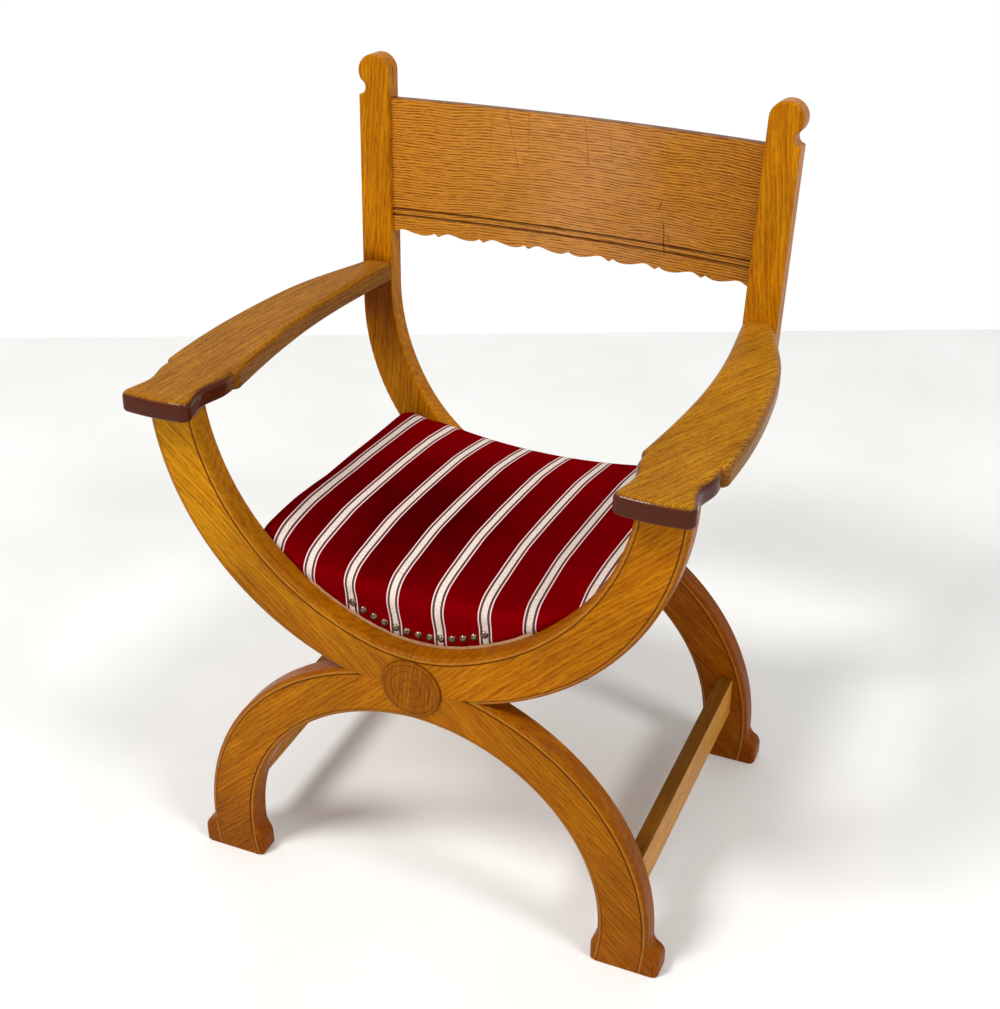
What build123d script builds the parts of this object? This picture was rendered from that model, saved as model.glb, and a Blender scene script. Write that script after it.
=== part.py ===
from build123d import *
import os
from math import cos, radians, sin, sqrt, tan

# A curule armchair of oak with an upholstered seat. Millimetres and degrees.
# The chair faces -Y, +X is the right-hand side of someone who looks at it from the front,
# +Z is up and the floor is z = 0. The origin is below the middle of the chair.

# Both sawn frames
PLANK = 28.0               # thickness of every frame plank
SPACING = 420.0            # from the front face of the front frame to that of the rear frame
LEAN = 5.1                 # backward lean of the rear uprights, from the seam upwards
ROUND = 6.0                # quarter round on the front arrises of the front frame and the legs
QUIRK = 0.9                # step between the front face and the quarter round
QUIRK_FLAT = 1.0           # flat between the step and the quarter round
BACK_EASE = 1.5            # eased arris on the rear faces
LONG_EDGE = 60.0           # shorter edges of an upright's outline stay sharp

# Every sawn curve is a circle. Its radius is its half width plus how far its centre lies past
# the middle line. The two outer curves meet on the seam, and the heights follow from there.
OUTER_LAP = 31.7           # how far those two would run past each other on the middle line

# Front arcs
FRONT_HALF = 314.0         # half width over the front arcs
FRONT_BAND = 57.0          # width of the arc below the arm
FRONT_OUTER_PAST = 11.0
FRONT_INNER_PAST = 34.0
FRONT_THROAT = 44.0        # bottom of the inner curve above the seam
FRONT_TIGHTER = 120.0      # how much smaller the radius at that bottom is

# Rear uprights
REAR_HALF = 277.0
REAR_BAND = 42.0
REAR_OUTER_PAST = 6.0
REAR_INNER_PAST = 39.0
REAR_OUTER_DROP = 20.8     # the outer curve would cross the middle line this far below the seam
REAR_THROAT = 34.8
REAR_TIGHTER = 46.0

# Legs, the same front and rear
LEG_HALF = 293.0
LEG_BAND = 63.0
ARCH_OUTER_H = 50.0        # height of the arch's centres
ARCH_OUTER_PAST = 8.0
ARCH_INNER_H = 54.0
ARCH_INNER_PAST = 5.0

# Feet
TOE_OUT = 15.0             # how far the plinth stands out past the outside of the leg
TOE_IN = 8.0               # and past its inside
PLINTH_H = 20.0
ANKLE_H = 47.0             # top of the ogee above the plinth
FOOT_CORNER = 5.0

# Posts and finials
POST_TOP = 906.0           # height of the finials above the floor
POST_SPLAY = 5.0           # how far the posts lean outwards up to the shoulder
HEAD_R = 21.0              # radius of the rounded head
HEAD_OUT = 1.0             # how far it stands out past the shoulder
SHOULDER_DROP = 51.0       # from the top of the head down to the shoulder, along the post
COVE_DEPTH = 8.5
COVE_ANGLE = -35.0         # where the cove meets the head
POST_ROUND = 3.0

# Turned boss over each joint
BOSS_R = 37.5              # front
REAR_BOSS_R = 30.0
BOSS_PROUD = 3.0
BOSS_LET_IN = 5.0
BOSS_EDGE = 2.5
RING_SHARES = (0.34, 0.64) # radii of the turned rings, as shares of the boss
RING_CUT = 0.7
DOT_R = 1.5
BOSS_FIT = 0.15

# Armrests
ARM_THICK = 24.0
ARM_UNDER = 636.0          # height of the underside over the front face of the front frame
ARM_FALL = 2.15            # slope down to the rear
ARM_OVERHANG = 36.0        # in front of the front frame
ARM_SIDE = 18.0            # how far the arm stands out past the front arc, each side
ARM_ROUND = 8.0
ARM_UNDER_ROUND = 4.0
ARM_HOLLOW = 15.3          # bow of the inner edge
ARM_BOW = 23.0             # bow of the outer edge
HEAD_LENGTH = 94.0         # from the notches to the front edge
NOTCH = 5.5
NECK = 12.0
NOSE_IN = 3.0              # the front edge is this much narrower than the arm at the notches
NOSE_BULGE = 4.0
ARM_CORNER = 10.0
ARM_INSET = 1.0            # the rear end stands this far inside the faces of the post
ARM_EDGE = ((0, 0), (0.25, 0.7), (0.5, 1), (0.75, 0.71), (1, 0), (1.08, -0.2))  # its bow along its length
ARM_SKEW = 0.15            # added to the fourth of those on the outside
NECK_SHARES = ((0.5, 1.0), (0.79, 0.62))  # along the head, and the share of the neck's depth there

# Back panel
PANEL_DROP = 52.0          # top edge below the tops of the finials
PANEL_H = 172.0
PANEL_THICK = 12.0
PANEL_SET_BACK = 6.0       # behind the front faces of the posts
PANEL_BULGE = 18.0
PANEL_TONGUE = 8.0         # depth in the groove of each post
PANEL_FIT = 0.2
LINE_HEIGHTS = (24.0, 32.0)  # V grooves above the lower edge
LINE_CUT = 1.6
SCALLOPS = 3               # repeats between the first drop and the post
SCALLOP_FIRST = 54.0       # first drop from the middle line
SCALLOP_HIGH = 5.0         # top of the hollow beside each drop
SCALLOP_CREST = 4.0        # pointed crest on its other side
SCALLOP_BACK = 0.09        # from a drop to the next crest, as a share of the pitch
SCALLOP_CURVE = ((0.23, 0.0), (0.57, 0.6), (0.8, 1.0), (0.94, 0.36))  # shares of its width and height

# Stretchers between the front and rear legs
STRETCHER_W = 19.0
STRETCHER_H = 57.0
STRETCHER_LOW = 78.0
STRETCHER_SHIFT = 3.0      # outwards from the middle of the leg
STRETCHER_EASE = 2.0

# Seat frame and deck
RAIL = 20.0
RAIL_OUTER = 192.0         # half width over the side rails
RAIL_RISE = 51.0           # top of the front rail above the front cradle
REAR_RAIL_RISE = 38.0      # top of the rear rail above the rear cradle
SIDE_RAIL_H = 25.0
RAIL_LIP = 4.0             # lip of each cross rail that stands in the cradle
RAIL_TRIM = 3.0            # cross rails stay this far inside the outer curves
DECK = 9.0
DECK_GAP = 0.5

# Upholstery
COVER_FRONT = 22.0         # front of the cover behind the front face of the frame
COVER_REAR = 7.0           # rear of the cover behind the front face of the rear frame
COVER = 2.0
PAD_FRONT_H = 95.0         # height of the seat's front edge above the front cradle
PAD_REAR_H = 77.0          # and of its rear edge above the rear cradle
PAD_CROWN = 5.0
PAD_BULGE = 19.0           # how far the pad stands out past the side rails
PAD_FRONT_R = 34.0
PAD_REAR_R = 30.0
PAD_SIDE_R = 20.0
SEAT_FIT = 0.3

# Dome nails
NAILS = 13
NAIL_PITCH = 14.2
NAIL_ABOVE = 15.0          # above the cradle
NAIL_R = 5.0
NAIL_DOME = 3.4
SHANK_R = 0.9
SHANK = 14.0
SHANK_IN_DOME = 2.0

# Dowels and screws
DOWEL_R = 4.0
DOWEL = 40.0
RAIL_DOWEL = 28.0
DOWEL_FIT = 0.1
DOWEL_END = 1.0
SEAM_DOWEL_X = 58.0
ARM_DOWEL_X = 14.0         # either side of the middle of the arc
ARM_DOWEL_SINK = 4.0       # the middle of the dowel lies this far below the arm
POST_DOWEL_X = 11.0        # either side of the middle of the post
SCREW_R = 2.0
SCREW_HEAD_R = 4.2
SCREW_HEAD = 3.0
RAIL_SCREW = 32.0
RAIL_SCREW_XS = (138.0, 162.0)
RAIL_SCREW_DROP = 16.0     # below the top of the rail
DECK_SCREW = 26.0
DECK_SCREW_X = 110.0
DECK_SCREW_SPREAD = 110.0  # along the side rails, either side of their middle

SPARE = 30.0               # how far pieces run past the faces that trim them
BIG = 1000.0


# ---------------------------------------------------------------- curves
def widest(half, past, height=0.0, tighter=0.0):
    """A sawn curve by its half width, how far its centre lies past the middle line, and its height.

    It is kept as that distance, the height of its centre, its radius, and the radius that rounds
    its bottom if it is the inside of a U."""
    return (past, height, half + past, half + past - tighter)


def low(curve, x):
    """Height of the lower side of a curve at x."""
    offset, centre, radius = curve[:3]
    return centre - sqrt(radius ** 2 - (x + offset) ** 2)


def high(curve, x):
    """Height of the upper side of a curve at x."""
    offset, centre, radius = curve[:3]
    return centre + sqrt(radius ** 2 - (x + offset) ** 2)


def side(curve, z):
    """Distance of a curve from the middle line at height z."""
    offset, centre, radius = curve[:3]
    return sqrt(radius ** 2 - (z - centre) ** 2) - offset


def grown(curve, amount):
    offset, centre, radius, cradle_r = curve
    return (offset, centre, radius + amount, cradle_r)


def dropped(curve, amount):
    offset, centre, radius, cradle_r = curve
    return (offset, centre - amount, radius, cradle_r)


def resting(curve, level):
    """The curve with its lower side at a level on the middle line."""
    return dropped(curve, low(curve, 0) - level)


def cradled(curve, level):
    """The curve with its rounded bottom at a level."""
    return dropped(curve, cradle_circle(curve) - curve[3] - level)


def arc(centre, start, end):
    """The shorter arc about a centre."""
    radius = sqrt((start[0] - centre[0]) ** 2 + (start[1] - centre[1]) ** 2)
    towards = (start[0] + end[0] - 2 * centre[0], start[1] + end[1] - 2 * centre[1])
    scale = radius / sqrt(towards[0] ** 2 + towards[1] ** 2)
    middle = (centre[0] + towards[0] * scale, centre[1] + towards[1] * scale)
    return ThreePointArc(start, middle, end)


def curve_arc(curve, start, end):
    return arc((-curve[0], curve[1]), start, end)


def outline(edges):
    return make_face(Wire(edges))


def crossing_height(upper, lower):
    """Height at which the outer curves of an upper frame and of the legs meet."""
    across, rise = lower[0] - upper[0], upper[1] - lower[1]
    gap = sqrt(across ** 2 + rise ** 2)
    along = (gap ** 2 + lower[2] ** 2 - upper[2] ** 2) / (2 * gap)
    beside = sqrt(lower[2] ** 2 - along ** 2)
    return lower[1] + (along * rise - beside * across) / gap


def cradle_circle(curve):
    """Centre height of the circle that rounds the bottom of an inner curve."""
    offset, centre, radius, cradle_r = curve
    return centre - sqrt((radius - cradle_r) ** 2 - offset ** 2)


ARCH_OUTER = widest(LEG_HALF, ARCH_OUTER_PAST, ARCH_OUTER_H)
ARCH_INNER = widest(LEG_HALF - LEG_BAND, ARCH_INNER_PAST, ARCH_INNER_H)
FRONT_OUTER = resting(widest(FRONT_HALF, FRONT_OUTER_PAST), high(ARCH_OUTER, 0) - OUTER_LAP)
SEAM_Z = crossing_height(FRONT_OUTER, ARCH_OUTER)
REAR_OUTER = resting(widest(REAR_HALF, REAR_OUTER_PAST), SEAM_Z - REAR_OUTER_DROP)

FRONT_CRADLE = SEAM_Z + FRONT_THROAT
REAR_CRADLE = SEAM_Z + REAR_THROAT
FRONT_INNER = cradled(widest(FRONT_HALF - FRONT_BAND, FRONT_INNER_PAST, 0, FRONT_TIGHTER), FRONT_CRADLE)
REAR_INNER = cradled(widest(REAR_HALF - REAR_BAND, REAR_INNER_PAST, 0, REAR_TIGHTER), REAR_CRADLE)
LEAN_SIN = sin(radians(LEAN))
LEAN_COS = cos(radians(LEAN))
LEAN_TAN = tan(radians(LEAN))
ARM_TAN = tan(radians(ARM_FALL))
POST_LENGTH = (POST_TOP - SEAM_Z) / LEAN_COS

PANEL_HIGH = POST_LENGTH - PANEL_DROP / LEAN_COS
PANEL_LOW = PANEL_HIGH - PANEL_H

# The overall depth runs from the arms' front edges to the finials or the bent panel.
POST_BACK = POST_LENGTH * LEAN_SIN + PLANK * LEAN_COS
PANEL_BACK = PANEL_HIGH * LEAN_SIN + (PANEL_SET_BACK + PANEL_BULGE + PANEL_THICK) * LEAN_COS
DEPTH = ARM_OVERHANG + SPACING + max(POST_BACK, PANEL_BACK)
FRONT_Y = ARM_OVERHANG - DEPTH / 2
REAR_Y = FRONT_Y + SPACING
FRONT_BACK = FRONT_Y + PLANK

RAIL_TOP = FRONT_CRADLE + RAIL_RISE
REAR_RAIL_TOP = REAR_CRADLE + REAR_RAIL_RISE
DECK_TAN = (RAIL_TOP - REAR_RAIL_TOP) / (SPACING - PLANK)

# Vertical faces that look forwards, for the front frame and for the rear legs
FRONT_PLANE = Plane(origin=(0, FRONT_Y, 0), x_dir=(1, 0, 0), z_dir=(0, -1, 0))
REAR_PLANE = Plane(origin=(0, REAR_Y, 0), x_dir=(1, 0, 0), z_dir=(0, -1, 0))
# The leaning front face of the uprights, its origin on the seam
LEAN_PLANE = Plane(origin=(0, REAR_Y, SEAM_Z), x_dir=(1, 0, 0), z_dir=(0, -LEAN_COS, LEAN_SIN))
# Square to that face: x across, y the depth behind it and z the length along the posts
LEAN_PLAN = Plane(origin=(0, REAR_Y, SEAM_Z), x_dir=(1, 0, 0), z_dir=(0, LEAN_SIN, LEAN_COS))
# The sloping underside of the arms: x across and y back from the front face of the frame
ARM_PLANE = Plane(origin=(0, FRONT_Y, ARM_UNDER), x_dir=(1, 0, 0),
                  z_dir=(0, sin(radians(ARM_FALL)), cos(radians(ARM_FALL))))
# The top of the seat rails: y back from the rear face of the front frame
DECK_PLANE = Plane(origin=(0, FRONT_BACK, RAIL_TOP), x_dir=(1, 0, 0), z_dir=(0, DECK_TAN, 1))


# ---------------------------------------------------------------- small solids
def box(x0, x1, y0, y1, z0, z1):
    return Pos((x0 + x1) / 2, (y0 + y1) / 2, (z0 + z1) / 2) * Box(x1 - x0, y1 - y0, z1 - z0)


def rod(centre, direction, radius, length):
    return Plane(origin=centre, z_dir=direction) * Cylinder(radius, length)


def mirrored(part):
    return mirror(part, about=Plane.YZ)


def both_sides(places):
    return places + [((-x, y, z), (-u, v, w), length) for (x, y, z), (u, v, w), length in places]


def above(plane):
    return plane * box(-BIG, BIG, -BIG, BIG, 0, BIG)


def below(plane):
    return plane * box(-BIG, BIG, -BIG, BIG, -BIG, 0)


def dowels(places):
    return [rod(centre, way, DOWEL_R, length) for centre, way, length in places]


def drilled(part, places):
    """The part with a hole, a little larger and longer, for each dowel."""
    for centre, way, length in places:
        part -= rod(centre, way, DOWEL_R + DOWEL_FIT, length + 2 * DOWEL_END)
    return part


def screw(head, way, length, grow=0.0):
    """Countersunk screw; head is the middle of its flat top and way the driving direction."""
    along = Plane(origin=head, z_dir=way)
    body = along * Cone(SCREW_HEAD_R + grow, SCREW_R + grow, SCREW_HEAD + grow,
                        align=(Align.CENTER, Align.CENTER, Align.MIN))
    body += along * Cylinder(SCREW_R + grow, length + 2 * grow,
                             align=(Align.CENTER, Align.CENTER, Align.MIN))
    return body


def screwed(part, places):
    for head, way, length in places:
        part -= screw(head, way, length, DOWEL_FIT)
    return part


# ---------------------------------------------------------------- sawn planks
def level_edges(part, plane, level):
    """Edges of a part that lie in a plane at a level along its normal."""
    found = []
    for edge in part.edges():
        ends = (plane.to_local_coords(edge @ 0).Z, plane.to_local_coords(edge @ 1).Z)
        if max(abs(end - level) for end in ends) < 1e-3:
            found.append(edge)
    return found


def sawn_plank(face_at, plane, rounding, quirk, shortest=0.0):
    """Plank sawn to an outline, with rounded front arrises and eased rear ones.

    The outline is a function of its inset. With a quirk, a thin layer of the inset outline
    stands in front of the quarter rounds."""
    body = extrude(plane.offset(-quirk) * face_at(0), amount=-(PLANK - quirk))
    body = fillet(level_edges(body, plane, -quirk), rounding)
    rear = [edge for edge in level_edges(body, plane, -PLANK) if edge.length > shortest]
    body = fillet(rear, BACK_EASE)
    if quirk > 0:
        body += extrude(plane * face_at(rounding + QUIRK_FLAT), amount=-2 * quirk)
    return body


def cradle_edges(curve, inset, start_x, top):
    """Inner edge of an upper frame, from start_x past the cradle and up to the height top."""
    offset, centre, radius, cradle_r = curve
    tight = cradle_r + inset
    bottom = cradle_circle(curve)
    share = tight / (radius - cradle_r)
    junction = (offset * share, bottom - (centre - bottom) * share)
    start = (start_x, bottom - sqrt(tight ** 2 - start_x ** 2))
    end = (side(grown(curve, inset), top), top)
    return start, end, [arc((0, bottom), start, junction), curve_arc(curve, junction, end)]


def upper_face(inset):
    """Right front arc, run past its cuts."""
    top = ARM_UNDER + SPARE
    start, inner_top, inner = cradle_edges(FRONT_INNER, inset, -SPARE, top)
    outer = grown(FRONT_OUTER, -inset)
    outer_top = (side(outer, top), top)
    outer_end = (-SPARE, low(outer, -SPARE))
    return outline(inner + [Line(inner_top, outer_top), curve_arc(outer, outer_top, outer_end),
                            Line(outer_end, start)])


def ogee(ankle_x, toe, way, inset):
    """S curve from the ankle to the plinth; way is +1 on the outside of the leg."""
    foot_x, fall = ankle_x + way * toe, ANKLE_H - PLINTH_H
    radius = (toe ** 2 + fall ** 2) / (4 * toe)
    flare, plinth = (ankle_x + way * radius, ANKLE_H), (foot_x - way * radius, PLINTH_H)
    share = (radius + inset) / (2 * radius)
    middle = (flare[0] + (plinth[0] - flare[0]) * share, flare[1] + (plinth[1] - flare[1]) * share)
    top, bottom = (ankle_x - way * inset, ANKLE_H), (foot_x - way * inset, PLINTH_H)
    return top, bottom, [arc(flare, top, middle), arc(plinth, middle, bottom)]


def leg_face(inset):
    """Right leg, run past the seam, the middle line and the floor."""
    outer, inner = grown(ARCH_OUTER, -inset), grown(ARCH_INNER, inset)
    outer_start, inner_end = (-SPARE, high(outer, -SPARE)), (-SPARE, high(inner, -SPARE))
    outer_side, inner_side = (outer[2] - outer[0], outer[1]), (inner[2] - inner[0], inner[1])
    out_top, out_toe, out_edges = ogee(LEG_HALF, TOE_OUT, 1, inset)
    in_top, in_toe, in_edges = ogee(LEG_HALF - LEG_BAND, TOE_IN, -1, inset)
    out_low, in_low = (out_toe[0], -SPARE), (in_toe[0], -SPARE)
    edges = [curve_arc(outer, outer_start, outer_side), Line(outer_side, out_top), *out_edges,
             Line(out_toe, out_low), Line(out_low, in_low), Line(in_low, in_toe), *in_edges,
             Line(in_top, inner_side), curve_arc(inner, inner_side, inner_end),
             Line(inner_end, outer_start)]
    return outline(edges)


def head_centre():
    return (REAR_HALF + POST_SPLAY + HEAD_OUT - HEAD_R, POST_LENGTH - HEAD_R)


def post_inner(length):
    """Distance of the straight inner edge of a post from the middle line."""
    start = REAR_INNER[1] - SEAM_Z
    share = (length - start) / (head_centre()[1] - start)
    inner_half = REAR_HALF - REAR_BAND
    return inner_half + (head_centre()[0] - HEAD_R - inner_half) * share


def upright_face(inset):
    """Right rear upright in its leaning plane, heights measured from the seam."""
    inner, outer = dropped(REAR_INNER, SEAM_Z), dropped(grown(REAR_OUTER, -inset), SEAM_Z)
    head = head_centre()
    shoulder = (REAR_HALF + POST_SPLAY, POST_LENGTH - SHOULDER_DROP)
    cove_end = (head[0] + HEAD_R * cos(radians(COVE_ANGLE)), head[1] + HEAD_R * sin(radians(COVE_ANGLE)))
    cove = (shoulder[0] - COVE_DEPTH, (shoulder[1] + cove_end[1]) / 2)
    start, inner_top, inner_edges = cradle_edges(inner, inset, -SPARE, inner[1])
    head_left, crown = (head[0] - HEAD_R, head[1]), (head[0], POST_LENGTH)
    outer_side, outer_end = (outer[2] - outer[0], outer[1]), (-SPARE, low(outer, -SPARE))
    return outline(inner_edges + [Line(inner_top, head_left), arc(head, head_left, crown),
                                  arc(head, crown, cove_end),
                                  ThreePointArc(cove_end, cove, shoulder),
                                  Line(shoulder, outer_side),
                                  curve_arc(outer, outer_side, outer_end),
                                  Line(outer_end, start)])


def right_half(part, z_low, z_high):
    return part & box(0, BIG, -BIG, BIG, z_low, z_high)


def boss_pocket(radius, face_y, way):
    """Round pocket, open outwards; way is the outward direction along Y."""
    middle = face_y + way * (BIG / 2 - BOSS_LET_IN)
    return rod((0, middle, SEAM_Z), (0, 1, 0), radius + BOSS_FIT, BIG)


def foot_corners(y):
    """What the rounded lower corners of a right foot lose."""
    waste = []
    for x, way in ((LEG_HALF + TOE_OUT, -1), (LEG_HALF - LEG_BAND - TOE_IN, 1)):
        centre = x + way * FOOT_CORNER
        block = box(min(x - way, centre), max(x - way, centre), y - 1, y + PLANK + 1, -1, FOOT_CORNER)
        waste.append(block - rod((centre, y, FOOT_CORNER), (0, 1, 0), FOOT_CORNER, BIG))
    return waste


def front_arc():
    part = sawn_plank(upper_face, FRONT_PLANE, ROUND, QUIRK)
    return right_half(part, SEAM_Z, BIG) - above(ARM_PLANE) - boss_pocket(BOSS_R, FRONT_Y, -1)


def leg(plane, y):
    part = right_half(sawn_plank(leg_face, plane, ROUND, QUIRK), 0, SEAM_Z)
    return part - foot_corners(y)


def rear_upright():
    part = sawn_plank(upright_face, LEAN_PLANE, POST_ROUND, 0, LONG_EDGE)
    part = right_half(part, SEAM_Z, BIG) - boss_pocket(REAR_BOSS_R, REAR_Y + PLANK, 1)
    return part - panel_groove()


def boss(radius, face_y, way):
    """Turned disc, half let into the frame; way is the outward direction along Y."""
    height = BOSS_PROUD + BOSS_LET_IN
    disc = Cylinder(radius, height, align=(Align.CENTER, Align.CENTER, Align.MIN))
    disc = fillet(disc.edges().group_by(Axis.Z)[-1], BOSS_EDGE)
    for share in RING_SHARES:
        disc -= Pos(0, 0, height) * Torus(radius * share, RING_CUT)
    disc -= Pos(0, 0, height) * Sphere(DOT_R)
    return Plane(origin=(0, face_y - way * BOSS_LET_IN, SEAM_Z), z_dir=(0, way, 0)) * disc


# ---------------------------------------------------------------- armrests
def arm_middle_at_post(rise):
    """Where a line at a height above the arms' underside meets the leaning faces of the posts."""
    level = ARM_UNDER + rise
    back = (SPACING + (level - SEAM_Z) * LEAN_TAN) / (1 + ARM_TAN * LEAN_TAN)
    return FRONT_Y + back, level - ARM_TAN * back


def arm_slab(face):
    body = extrude(face, amount=ARM_THICK)
    body = fillet(body.edges().group_by(Axis.Z)[-1], ARM_ROUND)
    return fillet(body.edges().group_by(Axis.Z)[0], ARM_UNDER_ROUND)


def corners_rounded(face, corners):
    near = [v for v in face.vertices() if any((Vector(v) - Vector(*c)).length < 0.01 for c in corners)]
    return fillet(near, ARM_CORNER)


def armrest():
    """Right arm: a long bowed part and a waisted head, with a notch where they meet."""
    y_post, z_post = arm_middle_at_post(0)
    length = (z_post - SEAM_Z) / LEAN_COS
    rear_in = post_inner(length) + ARM_INSET
    rear_out = REAR_HALF - ARM_INSET
    front_in = side(FRONT_INNER, ARM_UNDER) - ARM_SIDE - NOSE_IN
    front_out = side(FRONT_OUTER, ARM_UNDER) + ARM_SIDE - NOSE_IN
    nose = -ARM_OVERHANG + NOSE_BULGE
    notch = nose + HEAD_LENGTH
    run = y_post - FRONT_Y - notch

    def edge(front, rear, bow, skew):
        steps = [(s, b + skew * (count == 3)) for count, (s, b) in enumerate(ARM_EDGE)]
        return Spline([(front + (rear - front) * s + bow * b, notch + run * s) for s, b in steps])

    inner, outer = edge(front_in, rear_in, ARM_HOLLOW, 0), edge(front_out, rear_out, ARM_BOW, ARM_SKEW)
    long_part = outline([inner, outer, Line(inner @ 0, outer @ 0), Line(inner @ 1, outer @ 1)])
    long_part = corners_rounded(long_part, [(front_in, notch, 0), (front_out, notch, 0)])

    def neck(x, way):
        waist = [(s, NECK * share) for s, share in NECK_SHARES]
        shares = [(-0.27, NOTCH), (0.0, NOTCH), (0.19, NOTCH), *waist, (1, NOSE_IN)]
        return Spline([(x + way * step, notch - HEAD_LENGTH * s) for s, step in shares])

    left, right = neck(front_in, 1), neck(front_out, -1)
    middle = ((front_in + front_out) / 2, nose - NOSE_BULGE)
    head = outline([left, right, ThreePointArc(left @ 1, middle, right @ 1), Line(left @ 0, right @ 0)])
    head = corners_rounded(head, [left @ 1, right @ 1])
    body = ARM_PLANE * (arm_slab(long_part) + arm_slab(head))
    return body - below(LEAN_PLANE)


# ---------------------------------------------------------------- back panel
PANEL_HALF = post_inner(PANEL_LOW) + PANEL_TONGUE


def panel_band(fit, low_edge, high_edge):
    """Curved board between two cylinders whose common axis runs up along the posts."""
    radius = (PANEL_HALF ** 2 + PANEL_BULGE ** 2) / (2 * PANEL_BULGE)
    centre = PANEL_SET_BACK + PANEL_BULGE - radius
    low_centre = (0, centre, low_edge)
    tall = high_edge - low_edge
    align = (Align.CENTER, Align.CENTER, Align.MIN)
    outside = Pos(*low_centre) * Cylinder(radius + PANEL_THICK + fit, tall, align=align)
    inside = Pos(*low_centre) * Cylinder(radius - fit, tall, align=align)
    near = box(-PANEL_HALF - fit, PANEL_HALF + fit, 0, BIG, low_edge, high_edge)
    return (near & outside) - inside


def panel_groove():
    return LEAN_PLAN * panel_band(PANEL_FIT, PANEL_LOW - PANEL_FIT, PANEL_HIGH + PANEL_FIT)


def scallop_edges():
    """Lower edge of the right half, from the pointed crest in the middle to past the post."""
    pitch = (post_inner(PANEL_LOW) - SCALLOP_FIRST) / SCALLOPS
    edges = []
    crest_x = 0.0
    for count in range(SCALLOPS + 1):
        tip_x = SCALLOP_FIRST + count * pitch
        wide = tip_x - crest_x
        crest = (crest_x, SCALLOP_CREST)
        tip = (tip_x, 0)
        along = [(crest_x + share * wide, rise * SCALLOP_HIGH) for share, rise in SCALLOP_CURVE]
        edges.append(Spline(crest, *along, tip))
        crest_x = tip_x + SCALLOP_BACK * pitch
        edges.append(Line(tip, (crest_x, SCALLOP_CREST)))
    return edges, crest_x


def panel_outline():
    edges, end = scallop_edges()
    top = PANEL_HIGH - PANEL_LOW
    right = outline([*edges, Line((end, SCALLOP_CREST), (end, top)), Line((end, top), (0, top)),
                     Line((0, top), (0, SCALLOP_CREST))])
    return right


def back_panel():
    half = extrude(LEAN_PLANE * Pos(0, PANEL_LOW) * panel_outline(), amount=-BIG / 4)
    tongue = LEAN_PLAN * box(post_inner(PANEL_LOW), PANEL_HALF, 0, BIG / 4, PANEL_LOW, PANEL_HIGH)
    cutter = half + tongue
    board = LEAN_PLAN * panel_band(0, PANEL_LOW, PANEL_HIGH)
    board &= cutter + mirrored(cutter)
    radius = (PANEL_HALF ** 2 + PANEL_BULGE ** 2) / (2 * PANEL_BULGE)
    centre = PANEL_SET_BACK + PANEL_BULGE - radius
    for height in LINE_HEIGHTS:
        line = Pos(0, centre, PANEL_LOW + height) * Rot(0, 0, 90) * revolve(
            Plane.XZ * Pos(radius, 0) * Rot(0, 0, 45) * Rectangle(LINE_CUT * sqrt(2), LINE_CUT * sqrt(2)),
            Axis.Z)
        board -= LEAN_PLAN * line
    return board


# ---------------------------------------------------------------- stretchers
def stretcher_middle():
    level = STRETCHER_LOW + STRETCHER_H / 2
    return (side(ARCH_INNER, level) + side(ARCH_OUTER, level)) / 2 + STRETCHER_SHIFT, level


def stretcher():
    x, z = stretcher_middle()
    bar = box(x - STRETCHER_W / 2, x + STRETCHER_W / 2, FRONT_BACK, REAR_Y,
              z - STRETCHER_H / 2, z + STRETCHER_H / 2)
    return fillet(bar.edges().filter_by(Axis.Y), STRETCHER_EASE)


# ---------------------------------------------------------------- seat frame
def opening_face(curve, drop):
    """Opening of an upper frame above its cradle, less the fit of what stands in it."""
    top = curve[1] - drop
    inner = dropped(curve, drop)
    start, end, edges = cradle_edges(inner, -SEAT_FIT, 0, top)
    return outline([*edges, Line(end, (0, top)), Line((0, top), start)])


def opening(plane, curve, drop, near, far):
    """That opening as a solid, between two depths behind the front face of the frame."""
    half = extrude(plane.offset(-near) * opening_face(curve, drop), amount=near - far)
    return half + mirrored(half)


def inside_curve(plane, curve, drop, thick_from, thick_to):
    """What a cross rail may fill: everything inside the outer curve of its frame."""
    offset, centre, radius = curve[:3]
    half_disc = Pos(-offset, centre - drop) * Circle(radius - RAIL_TRIM)
    half_disc &= Pos(BIG / 2, 0) * Rectangle(BIG, 4 * BIG)
    half = extrude(plane.offset(-thick_from) * half_disc, amount=thick_from - thick_to)
    return half + mirrored(half)


def front_rail():
    low_edge = FRONT_CRADLE + SEAT_FIT + DECK_GAP
    rail = box(-RAIL_OUTER, RAIL_OUTER, FRONT_BACK, FRONT_BACK + RAIL, low_edge, RAIL_TOP + SPARE)
    rail &= inside_curve(FRONT_PLANE, FRONT_OUTER, 0, PLANK, PLANK + RAIL)
    rail += opening(FRONT_PLANE, FRONT_INNER, 0, COVER_FRONT + COVER, PLANK)
    return rail - above(DECK_PLANE)


def rear_rail():
    low_edge = REAR_CRADLE - SEAM_Z + SEAT_FIT + DECK_GAP
    rail = LEAN_PLAN * box(-RAIL_OUTER, RAIL_OUTER, -RAIL, 0, low_edge, RAIL_RISE + 3 * SPARE)
    rail &= inside_curve(LEAN_PLANE, REAR_OUTER, SEAM_Z, -RAIL, 0)
    rail += opening(LEAN_PLANE, REAR_INNER, SEAM_Z, 0, COVER_REAR - COVER)
    return rail - above(DECK_PLANE)


def rear_rail_front():
    """Everything in front of the rear rail."""
    return LEAN_PLAN * box(-BIG, BIG, -BIG, -RAIL, -BIG, BIG)


def side_rail():
    rail = box(RAIL_OUTER - RAIL, RAIL_OUTER, FRONT_BACK + RAIL, REAR_Y + SPARE,
               -BIG, BIG)
    rail &= DECK_PLANE * box(-BIG, BIG, -BIG, BIG, -SIDE_RAIL_H, 0)
    return rail & rear_rail_front()


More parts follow.
